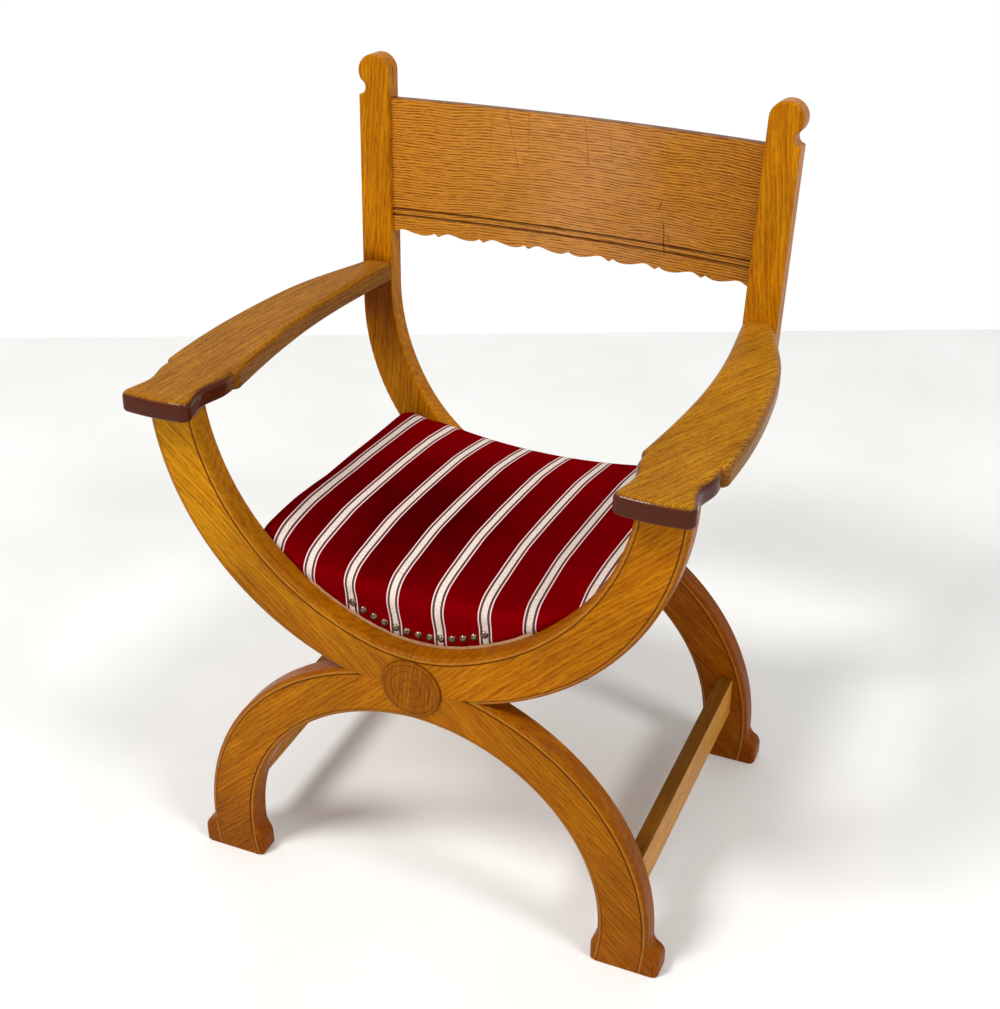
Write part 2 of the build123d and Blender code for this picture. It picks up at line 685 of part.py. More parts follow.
def seat_deck():
    board = DECK_PLANE * box(-RAIL_OUTER, RAIL_OUTER, -BIG, BIG, 0, DECK)
    board &= box(-BIG, BIG, FRONT_BACK + DECK_GAP, BIG, -BIG, BIG)
    return board & LEAN_PLAN * box(-BIG, BIG, -BIG, -DECK_GAP, -BIG, BIG)


# ---------------------------------------------------------------- upholstery
def seat_block(inset):
    """Side view of the seat run across, with its corners and upper edges rounded."""
    y_front, y_rear = FRONT_Y + COVER_FRONT + inset, REAR_Y + (COVER_REAR - inset) / LEAN_COS
    z_front, z_rear = FRONT_CRADLE + PAD_FRONT_H - inset, REAR_CRADLE + PAD_REAR_H - inset
    rear_shift = (z_rear - SEAM_Z) * LEAN_TAN
    front_low, rear_low = (y_front, SEAM_Z), (y_rear, SEAM_Z)
    front_top, rear_top = (y_front, z_front), (y_rear + rear_shift, z_rear)
    middle = ((front_top[0] + rear_top[0]) / 2, (z_front + z_rear) / 2 + PAD_CROWN)
    view = outline([Line(front_low, front_top), ThreePointArc(front_top, middle, rear_top),
                    Line(rear_top, rear_low), Line(rear_low, front_low)])
    view = fillet([v for v in view.vertices() if abs(v.Y - z_front) < 0.01 and v.X < 0],
                  PAD_FRONT_R - inset)
    view = fillet([v for v in view.vertices() if abs(v.Y - z_rear) < 0.01 and v.X > 0],
                  PAD_REAR_R - inset)
    half = RAIL_OUTER + PAD_BULGE - inset
    block = extrude(Plane.YZ * view, amount=half, both=True)
    upper = [edge for edge in block.edges() if abs(abs((edge @ 0.5).X) - half) < 0.01
             and max((edge @ 0).Z, (edge @ 1).Z) > SEAM_Z + 1]
    return fillet(upper, PAD_SIDE_R - inset)


def seat_form(inset, skirt):
    """Upholstery down to a skirt height below the rails' tops, fitted into both frames."""
    block = seat_block(inset)
    between = block & box(-BIG, BIG, FRONT_BACK + SEAT_FIT, BIG, -BIG, BIG)
    between &= DECK_PLANE * box(-BIG, BIG, -BIG, BIG, -skirt, BIG)
    between &= LEAN_PLAN * box(-BIG, BIG, -BIG, -SEAT_FIT, -BIG, BIG)
    front = block & opening(FRONT_PLANE, FRONT_INNER, 0, 0, PLANK + SEAT_FIT)
    rear = block & opening(LEAN_PLANE, REAR_INNER, SEAM_Z, -SEAT_FIT, PLANK)
    return between + front + rear


def rail_space():
    """The rails, the deck and the hollow under it."""
    space = box(-RAIL_OUTER, RAIL_OUTER, FRONT_BACK, BIG, -BIG, BIG)
    space &= LEAN_PLAN * box(-BIG, BIG, -BIG, 0, -BIG, BIG)
    space &= DECK_PLANE * box(-BIG, BIG, -BIG, BIG, -BIG, DECK)
    return space + below(DECK_PLANE) & box(-RAIL_OUTER, RAIL_OUTER, -BIG, BIG, -BIG, BIG)


# ---------------------------------------------------------------- nails
def nail_places():
    centre, radius = cradle_circle(FRONT_INNER), FRONT_INNER[3] - NAIL_ABOVE
    places = []
    for count in range(NAILS):
        turn = (count - (NAILS - 1) / 2) * NAIL_PITCH / radius
        places.append((radius * sin(turn), centre - radius * cos(turn)))
    return places


def nail(x, z):
    y = FRONT_Y + COVER_FRONT
    ball_r = (NAIL_R ** 2 + NAIL_DOME ** 2) / (2 * NAIL_DOME)
    dome = Pos(x, y + ball_r - NAIL_DOME, z) * Sphere(ball_r)
    dome &= box(x - NAIL_R - 1, x + NAIL_R + 1, y - NAIL_DOME - 1, y, z - NAIL_R - 1, z + NAIL_R + 1)
    shank = SHANK + SHANK_IN_DOME
    return dome + rod((x, y + SHANK - shank / 2, z), (0, 1, 0), SHANK_R, shank)


def nailed(part):
    for x, z in nail_places():
        hole = SHANK + 2 * DOWEL_END
        part -= rod((x, FRONT_Y + COVER_FRONT + SHANK / 2, z), (0, 1, 0), SHANK_R + DOWEL_FIT, hole)
    return part


# ---------------------------------------------------------------- places of the dowels
def seam_dowels(y, cradle):
    """Dowels across the upright seam, above and below the boss's middle, and across the level one."""
    across = (1, 0, 0)
    crown = high(ARCH_INNER, 0)
    mid_y = y + PLANK / 2
    level = both_sides([((SEAM_DOWEL_X, mid_y, SEAM_Z), (0, 0, 1), DOWEL)])
    return level + [((0, mid_y, (SEAM_Z + cradle) / 2), across, DOWEL),
                    ((0, mid_y, (SEAM_Z + crown) / 2), across, DOWEL)]


def arm_dowels():
    """Two from each arm into the front arc and two into the post."""
    normal = (0, sin(radians(ARM_FALL)), cos(radians(ARM_FALL)))
    arc_mid = (side(FRONT_INNER, ARM_UNDER) + side(FRONT_OUTER, ARM_UNDER)) / 2
    y = FRONT_Y + PLANK / 2
    z = ARM_UNDER - ARM_TAN * PLANK / 2 - ARM_DOWEL_SINK
    y_post, z_post = arm_middle_at_post(ARM_THICK / 2)
    post_mid = (REAR_HALF + post_inner((z_post - SEAM_Z) / LEAN_COS)) / 2
    places = [((arc_mid + way * ARM_DOWEL_X, y, z), normal, DOWEL) for way in (-1, 1)]
    places += [((post_mid + way * POST_DOWEL_X, y_post, z_post), (0, LEAN_COS, -LEAN_SIN), DOWEL)
               for way in (-1, 1)]
    return places


def stretcher_dowels():
    x, z = stretcher_middle()
    return [((x, y, z + way * STRETCHER_H / 4), (0, 1, 0), DOWEL)
            for y in (FRONT_BACK, REAR_Y) for way in (-1, 1)]


def rail_dowels():
    """One at each end of a side rail."""
    x, drop = RAIL_OUTER - RAIL / 2, SIDE_RAIL_H / 2
    front = (x, FRONT_BACK + RAIL, RAIL_TOP - DECK_TAN * RAIL - drop)
    back = SPACING - PLANK - RAIL
    level = RAIL_TOP - DECK_TAN * back - drop
    rear = (x - DOWEL_R / 2, FRONT_BACK + back + (level - SEAM_Z) * LEAN_TAN, level + DOWEL_R / 2)
    return [(front, (0, 1, 0), RAIL_DOWEL), (rear, (0, LEAN_COS, -LEAN_SIN), RAIL_DOWEL)]


def rail_screws():
    """From the rear face of the front rail and the front face of the rear rail into the frames."""
    places = []
    for x in RAIL_SCREW_XS:
        places.append(((x, FRONT_BACK + RAIL, RAIL_TOP - RAIL_SCREW_DROP), (0, -1, 0), RAIL_SCREW))
        height = (REAR_RAIL_TOP - RAIL_SCREW_DROP - SEAM_Z) / LEAN_COS
        head = LEAN_PLAN.from_local_coords(Vector(x, -RAIL, height))
        places.append(((head.X, head.Y, head.Z), (0, LEAN_COS, -LEAN_SIN), RAIL_SCREW))
    return both_sides(places)


def deck_screws():
    """Down through the deck into all four rails."""
    long_half = (SPACING - PLANK) / 2
    spots = [(DECK_SCREW_X, RAIL / 2), (DECK_SCREW_X, 2 * long_half - RAIL / 2),
             (RAIL_OUTER - RAIL / 2, long_half - DECK_SCREW_SPREAD),
             (RAIL_OUTER - RAIL / 2, long_half + DECK_SCREW_SPREAD)]
    down = DECK_PLANE.z_dir * -1
    places = []
    for x, back in spots:
        head = DECK_PLANE.from_local_coords(Vector(x, back, DECK))
        places.append(((head.X, head.Y, head.Z), (down.X, down.Y, down.Z), DECK_SCREW))
    return both_sides(places)


# ---------------------------------------------------------------- assembly
def build():
    """All nodes by name; a node with several equal pieces is a list."""
    front_seam, rear_seam = seam_dowels(FRONT_Y, FRONT_CRADLE), seam_dowels(REAR_Y, REAR_CRADLE)
    arm, bars, corners = both_sides(arm_dowels()), both_sides(stretcher_dowels()), both_sides(rail_dowels())
    frame_screws, board_screws = rail_screws(), deck_screws()
    arm_right, bar_right, corner_right = arm_dowels(), stretcher_dowels(), rail_dowels()

    right = {
        "front_arc": screwed(drilled(front_arc(), front_seam + arm_right[:2]), frame_screws),
        "front_leg": drilled(leg(FRONT_PLANE, FRONT_Y) - boss_pocket(BOSS_R, FRONT_Y, -1),
                             front_seam + bar_right[:2]),
        "rear_leg": drilled(leg(REAR_PLANE, REAR_Y) - boss_pocket(REAR_BOSS_R, REAR_Y + PLANK, 1),
                            rear_seam + bar_right[2:]),
        "rear_upright": screwed(drilled(rear_upright(), rear_seam + arm_right[2:]), frame_screws),
        "armrest": drilled(armrest(), arm_right),
        "stretcher": drilled(stretcher(), bar_right),
        "seat_rail": screwed(drilled(side_rail(), corner_right), board_screws),
    }
    nodes = {}
    for name, part in right.items():
        nodes[name + "_right"] = [part]
        nodes[name + "_left"] = [mirrored(part)]

    nodes["front_boss"] = [boss(BOSS_R, FRONT_Y, -1)]
    nodes["rear_boss"] = [boss(REAR_BOSS_R, REAR_Y + PLANK, 1)]
    nodes["back_panel"] = [back_panel()]
    nodes["seat_rail_front"] = [nailed(screwed(drilled(front_rail(), corners[::2]),
                                               frame_screws + board_screws))]
    nodes["seat_rail_rear"] = [screwed(drilled(rear_rail(), corners[1::2]), frame_screws + board_screws)]
    nodes["seat_deck"] = [screwed(seat_deck(), board_screws)]

    inside = seat_form(COVER, SIDE_RAIL_H + SPARE)
    nodes["seat_cover"] = [nailed(seat_form(0, SIDE_RAIL_H) - inside)]
    stuffing = inside & DECK_PLANE * box(-BIG, BIG, -BIG, BIG, -SIDE_RAIL_H, BIG)
    nodes["seat_pad"] = [stuffing - rail_space()]
    nodes["seat_nails"] = [nail(x, z) for x, z in nail_places()]

    nodes["front_frame_dowels"] = dowels(front_seam)
    nodes["rear_frame_dowels"] = dowels(rear_seam)
    nodes["arm_dowels"] = dowels(arm)
    nodes["stretcher_dowels"] = dowels(bars)
    nodes["rail_dowels"] = dowels(corners)
    nodes["rail_screws"] = [screw(*place) for place in frame_screws]
    nodes["deck_screws"] = [screw(*place) for place in board_screws]
    return nodes


def main():
    os.makedirs("parts", exist_ok=True)
    for name, pieces in build().items():
        solids = [solid for piece in pieces for solid in piece.solids()]
        shape = solids[0] if len(solids) == 1 else Compound(children=solids)
        shape.label = name
        export_step(shape, f"parts/{name}.step")


main()
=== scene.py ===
import math
from functools import partial

import bpy
import numpy as np
from mathutils import Matrix, Vector


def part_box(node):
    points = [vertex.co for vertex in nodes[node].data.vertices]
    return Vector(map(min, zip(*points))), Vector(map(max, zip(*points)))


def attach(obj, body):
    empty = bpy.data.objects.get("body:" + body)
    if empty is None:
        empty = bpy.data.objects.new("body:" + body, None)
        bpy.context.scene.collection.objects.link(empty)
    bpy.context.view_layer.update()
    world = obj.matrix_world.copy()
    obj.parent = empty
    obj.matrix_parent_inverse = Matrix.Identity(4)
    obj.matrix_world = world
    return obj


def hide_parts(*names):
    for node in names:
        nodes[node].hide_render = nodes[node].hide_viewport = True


# A curule armchair: two sawn oak frames, one behind the other, with arms and a carved back panel, a striped
# velvet seat and brass dome nails. Metres; the chair faces -Y, +X is on the right of someone who looks at
# its front, and the floor is z = 0.

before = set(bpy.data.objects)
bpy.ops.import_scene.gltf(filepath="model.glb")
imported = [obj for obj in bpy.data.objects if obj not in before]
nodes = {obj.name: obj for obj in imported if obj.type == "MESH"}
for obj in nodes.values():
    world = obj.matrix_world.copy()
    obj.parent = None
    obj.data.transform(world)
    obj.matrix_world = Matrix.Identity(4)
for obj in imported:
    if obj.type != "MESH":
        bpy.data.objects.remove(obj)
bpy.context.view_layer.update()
scene = bpy.context.scene
scene.view_settings.view_transform = "Standard"
print("frame loaded:", len(nodes), "nodes")


# The camera stands before the chair's right side and looks down on the seat. Angles in degrees.
camera = {
    "place": (0.6633, -1.5143, 1.4270),
    "yaw": 23.349,                  # to the left of straight back
    "pitch": -30.616,
    "roll": -0.258,
    "focalPixels": 1588.75,
    "image": (1000, 1009),
    "sensor": 36.0,                 # millimetres
    "clipEnd": 50.0,
}


def placeCamera(c):
    # The view runs along (-sin yaw cos pitch, cos yaw cos pitch, sin pitch), turned by the roll about itself.
    yaw, pitch, roll = (math.radians(c[k]) for k in ("yaw", "pitch", "roll"))
    ahead = Vector((-math.sin(yaw) * math.cos(pitch), math.cos(yaw) * math.cos(pitch), math.sin(pitch)))
    level = Vector((math.cos(yaw), math.sin(yaw), 0))
    up = level.cross(ahead)
    right = level * math.cos(roll) + up * math.sin(roll)
    up = up * math.cos(roll) - level * math.sin(roll)
    data = bpy.data.cameras.new("camera")
    data.sensor_fit = "VERTICAL"
    data.sensor_height = c["sensor"]
    data.lens = c["focalPixels"] * c["sensor"] / c["image"][1]
    data.clip_end = c["clipEnd"]
    seen = bpy.data.objects.new("camera", data)
    scene.collection.objects.link(seen)
    turn = Matrix((right, up, -ahead)).transposed().to_4x4()
    seen.matrix_world = Matrix.Translation(Vector(c["place"])) @ turn
    scene.camera = seen


placeCamera(camera)
print("camera placed")


def linear(hexColour):
    # sRGB to linear light: a 12.92nd of the value up to 0.04045, and a power of 2.4 above it.
    parts = [int(hexColour[i:i + 2], 16) / 255 for i in (1, 3, 5)]
    return tuple(p / 12.92 if p <= 0.04045 else ((p + 0.055) / 1.055) ** 2.4 for p in parts) + (1.0,)


def grey(value):
    return (value, value, value, 1.0)


def setSockets(node, values):
    # A socket as a value is linked, and anything else is set.
    for socket, value in values.items():
        if isinstance(value, bpy.types.NodeSocket):
            node.id_data.links.new(value, node.inputs[socket])
        else:
            node.inputs[socket].default_value = value


def addNode(tree, kind, inputs=(), out=0, stops=(), **settings):
    # Adds a node with its settings, ramp stops and inputs, by name or in order, and gives one output.
    node = tree.nodes.new("ShaderNode" + kind)
    for name, value in settings.items():
        setattr(node, name, value)
    for count, (at, colour) in enumerate(stops):
        while len(node.color_ramp.elements) <= count:
            node.color_ramp.elements.new(1.0)
        node.color_ramp.elements[count].position = at
        node.color_ramp.elements[count].color = colour
    setSockets(node, inputs if isinstance(inputs, dict) else dict(enumerate(inputs)))
    return node.outputs[out] if node.outputs else None


def newMaterial(name):
    material = bpy.data.materials.new(name)
    material.use_nodes = True
    tree = material.node_tree
    return material, partial(addNode, tree), tree.nodes["Principled BSDF"]


def lineMask(add, value, at, full, whole):
    # One as far as full from a place, zero from whole on, and straight between them.
    away = add("Math", (value, at), operation="SUBTRACT")
    away = add("Math", (away,), operation="ABSOLUTE")
    return add("MapRange", (away, full, whole, 1.0, 0.0))


def layered(add, colour, layers):
    # Lays each colour over those below, as strongly as the product of its masks.
    for masks, tint, blend in layers:
        share = masks[0]
        for mask in masks[1:]:
            share = add("Math", (share, mask), operation="MULTIPLY")
        colour = add("Mix", {0: share, 6: colour, 7: tint}, 2, data_type="RGBA", blend_type=blend)
    return colour


def weighted(add, parts):
    # The sum of the parts, each times its weight.
    total = 0.0
    for part, weight in parts:
        total = add("Math", (part, weight, total), operation="MULTIPLY_ADD")
    return total


# European oak, quarter and plain sawn, stained golden and lacquered. The stain gives the warm tone, the
# open pores show as short dark dashes along the grain, and the lacquer gives a satin gloss.
oakLook = {
    "dark": "#864400",
    "mid": "#B26600",
    "light": "#D68C06",
    "heart": (0.31, 1.0, 0.17),     # towards the middle of the log, which turns the rings in the board
    "bends": 7.0,                   # to the metre
    "stray": 0.012,                 # how far the grain bends off its line
    "ringWidth": 0.0055,
    "ringPace": 0.12,               # how slowly the rings change along the grain
    "wavePeriod": 0.314,            # of the wave texture at scale 1
    "weights": (0.45, 0.08, 0.55),  # of streaks, rings and fibres in the tone
    "spread": (0.26, 0.79),         # shares of the tone that take the dark and the light colour
    "streak": (0.13, 0.0065),       # length and width of the soft streaks
    "fibre": (0.032, 0.0011),
    "noiseSpan": (0.3, 0.7),        # where nearly all values of a noise lie
    "cloud": 9.0,                   # broad light and dark patches, to the metre
    "cloudDark": 0.78,
    "pore": "#4E2400",
    "poreDepth": 0.60,
    "poreFrom": 0.56,               # the lower this is, the denser the pores
    "poreRun": 0.12,                # how softly a pore ends
    "poreRings": (0.15, 0.75, 1.0, 0.35),   # a ring's early and late wood, and how open its pores are there
    "dash": (0.012, 0.0010),        # real pores are a quarter of this; drawn as coarse as they need to show
    "roughness": 0.30,
    "roughnessSpan": (-0.05, 0.08),     # from that, in the fibres' low and high places
    "gloss": 0.045,
    "coat": 0.0,                    # thicker lacquer, on the stained edges alone
    "coatRoughness": 0.07,
    "ior": 1.5,
    "fibreRelief": 0.35,            # height of the fibres to the depth of the pores
    "relief": (0.35, 0.0004),       # strength and height of the relief
    "tones": None,                  # stops of stain from left to right
    "toneDepth": 0.62,
    "toneStray": 0.04,
    "toneSpan": (-0.24, 0.24),
    "fleck": 0.0,                   # medullary rays across the grain
    "fleckSize": (0.0016, 0.014, 0.02),
    "fleckSpan": (0.58, 0.68),
    "fleckPatch": (0.45, 0.60),
    "rows": None,                   # pitch and depth of rows of pores in quarter-sawn wood
    "crossing": (),                 # rays and shakes across the grain: x, low, high, drift, colour and depth
    "shaded": None,                 # painted shade: colour, and the levels where it fades in and out
    "shadeStray": 0.02,
    "shadeMost": 0.8,
    "shadedFront": False,           # keeps that painted shade to faces that look forward
    "forward": (-0.6, -0.9),
    "levelStain": None,             # painted shade on faces that look up or down: colour and depth
    "levelTilt": (0.25, 0.60),
    "edge": None,                   # a darker stain on faces that don't look up: colour, depth at the rear
    "edgeRun": (-0.19, -0.155),     # where that stain weakens, from front to back
    "edgeTilt": (0.94, 0.62),
    "edgeStray": 0.10,
    "edgePolish": 0.6,              # how much of the roughness is left there
    "seam": None,                   # colour of the dark joint line on the middle plane
    "seamWidth": (0.0003, 0.0009),
    "seamDepth": 0.85,
    "quirks": (),                   # circles that the arris marks run beside: see arcQuirks
    "turned": 0.0,                  # radius of a disc turned on the lathe, with rings about its middle and painted shade at its edge
}

# Marks beside a rounded arris, by their distance inwards from the sawn curve: a darker band on the round, a
# painted highlight line along it, and painted shade in the small step that ends it.
arris = {
    "polish": ("#743204", 0.45, 0.0056, 0.0068),        # colour, depth, and where it fades
    "paintedHighlight": ("#F4BC50", 0.16, 0.0046, 0.0006, 0.0018),   # colour, depth, place, full and whole half width
    "quirkShade": ("#5A2C04", 0.85, 0.0068, 0.0004, 0.0010),
    "run": 0.001,                   # how softly a mark starts and ends
}
# Rows of pores, where the growth layers are cut lengthwise and follow each other in long gentle waves.
rowLook = {
    "wave": (0.040, 0.014),         # length and width of the waves
    "sway": 1.4,                    # how many pitches a wave sways
    "gap": (0.022, 0.0030),         # length and width of the gaps in a row
    "gapSpan": (0.42, 0.56),
    "dark": (0.32, 0.45),           # shares of the way from one row to the next
    "lit": (0.18, 0.04),
    "light": "#E8B068",
    "litDepth": 0.38,
}
turning = {
    "pitch": 0.0042,                # from ring to ring
    "stray": 6.0,
    "ring": "#7A4404",
    "ringSpan": (0.1, 0.9),
    "fades": (0.30, 0.72, 0.55, 0.12),  # two shares of the radius, and how deep the rings are there
    "groove": "#5A2C04",
    "rim": (0.87, 0.008, 0.024),    # the groove's share of the radius, with its full and whole half width
    "rimDepth": 0.7,
    # Painted shade along the disc's edge, where it stands proud of the frame.
    "outside": (0.96, 1.0, 0.0, 0.8),
}
shake = {
    "waver": 0.005,                 # how far a ray or shake strays from its straight line
    "wavers": 70.0,                 # to the metre
    "width": (0.0003, 0.0014),
    "tip": 0.008,
}


def oakMaterial(name, along, shift, changes):
    # The grain runs one way through a solid block and bends a little. Its tone is a weighted sum of long
    # streaks, rings and short fibres, and pores, stains, marks, painted shade and painted highlights are laid
    # over it in turn.
    look = dict(oakLook, **changes)
    material, add, shader = newMaterial(name)
    spot = add("TexCoord", out="Object")
    x, y, z = (add("SeparateXYZ", (spot,), axis) for axis in "XYZ")
    out = add("Math", (x,), operation="ABSOLUTE")
    faceY, faceZ = (add("SeparateXYZ", (add("TexCoord", out="Normal"),), axis) for axis in "YZ")

    ahead = Vector(along).normalized()
    beside = ahead.cross(Vector(look["heart"]).normalized()).normalized()
    turn = Matrix((ahead, beside, ahead.cross(beside))).to_euler()
    wood = add("Mapping", {"Vector": spot, "Rotation": turn, "Location": shift})
    bend = add("TexNoise", {"Vector": wood, "Scale": look["bends"], "Detail": 2.0}, "Color")
    bend = add("VectorMath", (bend, (0.5, 0.5, 0.5)), operation="SUBTRACT")
    grain = add("VectorMath", (bend, (0.0, look["stray"], look["stray"]), wood), operation="MULTIPLY_ADD")
    broad = add("TexNoise", {"Vector": wood, "Scale": look["cloud"], "Detail": 2.0})
    sway = add("MapRange", (broad, *look["noiseSpan"], -1.0, 1.0))

    def stretched(size, detail):
        # Noise whose features have this length along the grain and this width across it.
        packed = add("VectorMath", (grain, (1 / size[0], 1 / size[1], 1 / size[1])), operation="MULTIPLY")
        return add("TexNoise", {"Vector": packed, "Scale": 1.0, "Detail": detail, "Roughness": 0.55})

    def fromCentre(past, height):
        # Distance in the front view from a circle's centre, which lies past the middle plane.
        aside = add("Math", (out, past), operation="ADD")
        above = add("Math", (z, height), operation="SUBTRACT")
        return add("VectorMath", (add("CombineXYZ", (aside, above)),), "Value", operation="LENGTH")

    streaks = stretched(look["streak"], 3.0)
    fibres = stretched(look["fibre"], 2.0)
    dashes = stretched(look["dash"], 1.0)
    flowing = add("VectorMath", (grain, (look["ringPace"], 1.0, 1.0)), operation="MULTIPLY")
    rings = {"Vector": flowing, "Scale": look["wavePeriod"] / look["ringWidth"], "Distortion": 5.0,
             "Detail": 2.0, "Detail Scale": 1.5}
    rings = add("TexWave", rings, "Fac", bands_direction="Y")
    tone = weighted(add, zip((streaks, rings, fibres), look["weights"]))
    colour = add("ValToRGB", (add("MapRange", (tone, *look["spread"])),), stops=(
        (0.0, linear(look["dark"])), (0.5, linear(look["mid"])), (1.0, linear(look["light"]))))
    cloudTones = (grey(look["cloudDark"]), grey(1.0))
    cloud = add("ValToRGB", (broad,), stops=zip(look["noiseSpan"], cloudTones))
    layers = [((1.0,), cloud, "MULTIPLY")]

    if look["tones"]:
        aside = add("Math", (sway, look["toneStray"], x), operation="MULTIPLY_ADD")
        aside = add("MapRange", (aside, *look["toneSpan"]))
        stain = add("ValToRGB", (aside,), stops=[(at, linear(tint)) for at, tint in look["tones"]])
        layers.append(((look["toneDepth"],), stain, "MIX"))
    if look["fleck"]:
        rays = add("VectorMath", (grain, [1 / size for size in look["fleckSize"]]), operation="MULTIPLY")
        rays = add("TexNoise", {"Vector": rays, "Scale": 1.0, "Detail": 1.0, "Distortion": 0.6})
        rays = add("MapRange", (rays, *look["fleckSpan"]))
        patch = add("MapRange", (broad, *look["fleckPatch"]))
        layers.append(((rays, patch, look["fleck"]), linear(look["light"]), "MIX"))
    pores = add("MapRange", (dashes, look["poreFrom"], look["poreFrom"] + look["poreRun"]))
    pores = add("Math", (pores, add("MapRange", (rings, *look["poreRings"]))), operation="MULTIPLY")
    layers.append(((pores, look["poreDepth"]), linear(look["pore"]), "MIX"))
    if look["rows"]:
        pitch, depth = look["rows"]
        wave = add("Math", (stretched(rowLook["wave"], 1.0), rowLook["sway"]), operation="MULTIPLY")
        saw = add("Math", (add("SeparateXYZ", (grain,), "Y"), 1 / pitch, wave), operation="MULTIPLY_ADD")
        saw = add("Math", (saw, 0.5), operation="PINGPONG")
        dark = add("MapRange", (saw, *rowLook["dark"]))
        gaps = add("MapRange", (stretched(rowLook["gap"], 1.0), *rowLook["gapSpan"]))
        lit = add("MapRange", (saw, *rowLook["lit"]))
        layers.append(((dark, gaps, depth), linear(look["pore"]), "MIX"))
        layers.append(((lit, depth * rowLook["litDepth"]), linear(rowLook["light"]), "MIX"))
    for foot, low, high, drift, tint, depth in look["crossing"]:
        waver = add("TexNoise", {"Vector": spot, "Scale": shake["wavers"], "Detail": 1.0})
        line = add("Math", (waver, shake["waver"], foot - shake["waver"] / 2), operation="MULTIPLY_ADD")
        line = add("Math", (add("MapRange", (z, low, high)), drift, line), operation="MULTIPLY_ADD")
        tips = (add("MapRange", (z, low, low + shake["tip"])),
                add("MapRange", (z, high - shake["tip"], high, 1.0, 0.0)))
        layers.append(((lineMask(add, x, line, *shake["width"]), depth, *tips), linear(tint), "MIX"))
    # Painted shade: the colour is darkened between two levels, where shade falls on the wood.
    if look["shaded"]:
        tint, low, lowFull, highFull, high = look["shaded"]
        climb = add("Math", (sway, look["shadeStray"], z), operation="MULTIPLY_ADD")
        masks = [add("MapRange", (climb, low, lowFull)),
                 add("MapRange", (climb, highFull, high, look["shadeMost"], 0.0))]
        if look["shadedFront"]:
            masks.append(add("MapRange", (faceY, *look["forward"])))
        layers.append((masks, linear(tint), "MULTIPLY"))
    # Painted shade on faces that look up or down, where the shade falls.
    if look["levelStain"]:
        tint, depth = look["levelStain"]
        tilt = add("Math", (faceZ,), operation="ABSOLUTE")
        layers.append(((add("MapRange", (tilt, *look["levelTilt"])), depth), linear(tint), "MIX"))

    least, most = (look["roughness"] + change for change in look["roughnessSpan"])
    gloss = add("MapRange", (fibres, *look["noiseSpan"], least, most))
    if look["edge"]:
        tint, depth = look["edge"]
        worn = add("Math", (sway, look["edgeStray"], faceZ), operation="MULTIPLY_ADD")
        worn = add("MapRange", (worn, *look["edgeTilt"]))
        weaker = add("MapRange", (y, *look["edgeRun"], 1.0, depth))
        stained = add("Math", (worn, weaker), operation="MULTIPLY")
        layers.append(((stained,), linear(tint), "MIX"))
        polish = add("MapRange", (stained, 0.0, 1.0, 1.0, look["edgePolish"]))
        gloss = add("Math", (gloss, polish), operation="MULTIPLY")
        setSockets(shader, {"Coat Weight": add("Math", (stained, look["coat"]), operation="MULTIPLY")})
    if look["seam"]:
        middle = lineMask(add, x, 0.0, *look["seamWidth"])
        layers.append(((middle, look["seamDepth"]), linear(look["seam"]), "MIX"))
    # Beside each arris: a darker band on the round, a painted highlight line and painted shade in the step.
    for past, height, radius, way, reach in look["quirks"]:
        inwards = add("Math", (fromCentre(past, height), radius), operation="SUBTRACT")
        inwards = add("Math", (inwards, way), operation="MULTIPLY")
        within = (add("MapRange", (out, reach[0] - arris["run"], reach[0])),
                  add("MapRange", (out, reach[1], reach[1] + arris["run"], 1.0, 0.0)))
        tint, depth, fades, ends = arris["polish"]
        layers.append(((add("MapRange", (inwards, fades, ends, depth, 0.0)), *within), linear(tint), "MIX"))
        for tint, depth, at, full, whole in (arris["paintedHighlight"], arris["quirkShade"]):
            layers.append(((lineMask(add, inwards, at, full, whole), depth, *within), linear(tint), "MIX"))
    if look["turned"]:
        away = fromCentre(0.0, seamHeight)
        share = add("Math", (away, look["turned"]), operation="DIVIDE")
        ripple = weighted(add, ((broad, turning["stray"]), (away, 2 * math.pi / turning["pitch"])))
        ripple = add("MapRange", (add("Math", (ripple,), operation="SINE"), *turning["ringSpan"]))
        fainter = add("MapRange", (share, *turning["fades"]))
        rim = lineMask(add, share, *turning["rim"])
        # Painted shade along the disc's edge.
        outside = add("MapRange", (share, *turning["outside"]))
        layers.append(((ripple, fainter), linear(turning["ring"]), "MIX"))
        layers.append(((rim, turning["rimDepth"]), linear(turning["groove"]), "MIX"))
        layers.append(((outside,), linear(turning["groove"]), "MIX"))

    height = weighted(add, ((fibres, look["fibreRelief"]), (pores, -1.0)))
    strength, distance = look["relief"]
    setSockets(shader, {
        "Base Color": layered(add, colour, layers),
        "Roughness": gloss,
        "Specular IOR Level": look["gloss"],
        "Coat Roughness": look["coatRoughness"],
        "IOR": look["ior"],
        "Normal": add("Bump", {"Height": height, "Strength": strength, "Distance": distance}),
    })
    return material


def paint(material, *names):
    # A node keeps the shape it was made with and takes this finish.
    for name in names:
        data = nodes[name].data
        data.materials.clear()
        data.materials.append(material)


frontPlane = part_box("front_arc_right")[0].y
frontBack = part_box("front_arc_right")[1].y
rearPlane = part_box("stretcher_right")[1].y
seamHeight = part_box("front_arc_right")[0].z

# The inner curve of each U: a circle on either side, centred past the middle plane at the middle height, and
# the cradle, a smaller circle at the bottom.
frontU = {"past": 0.034, "middle": 0.665, "radius": 0.291, "cradle": 0.171}
rearU = {"past": 0.039, "middle": 0.622, "radius": 0.274, "cradle": 0.228}


def cradleCentre(u):
    # The circles touch, so the centres are as far apart as the radii differ.
    return u["middle"] - math.sqrt((u["radius"] - u["cradle"]) ** 2 - u["past"] ** 2)


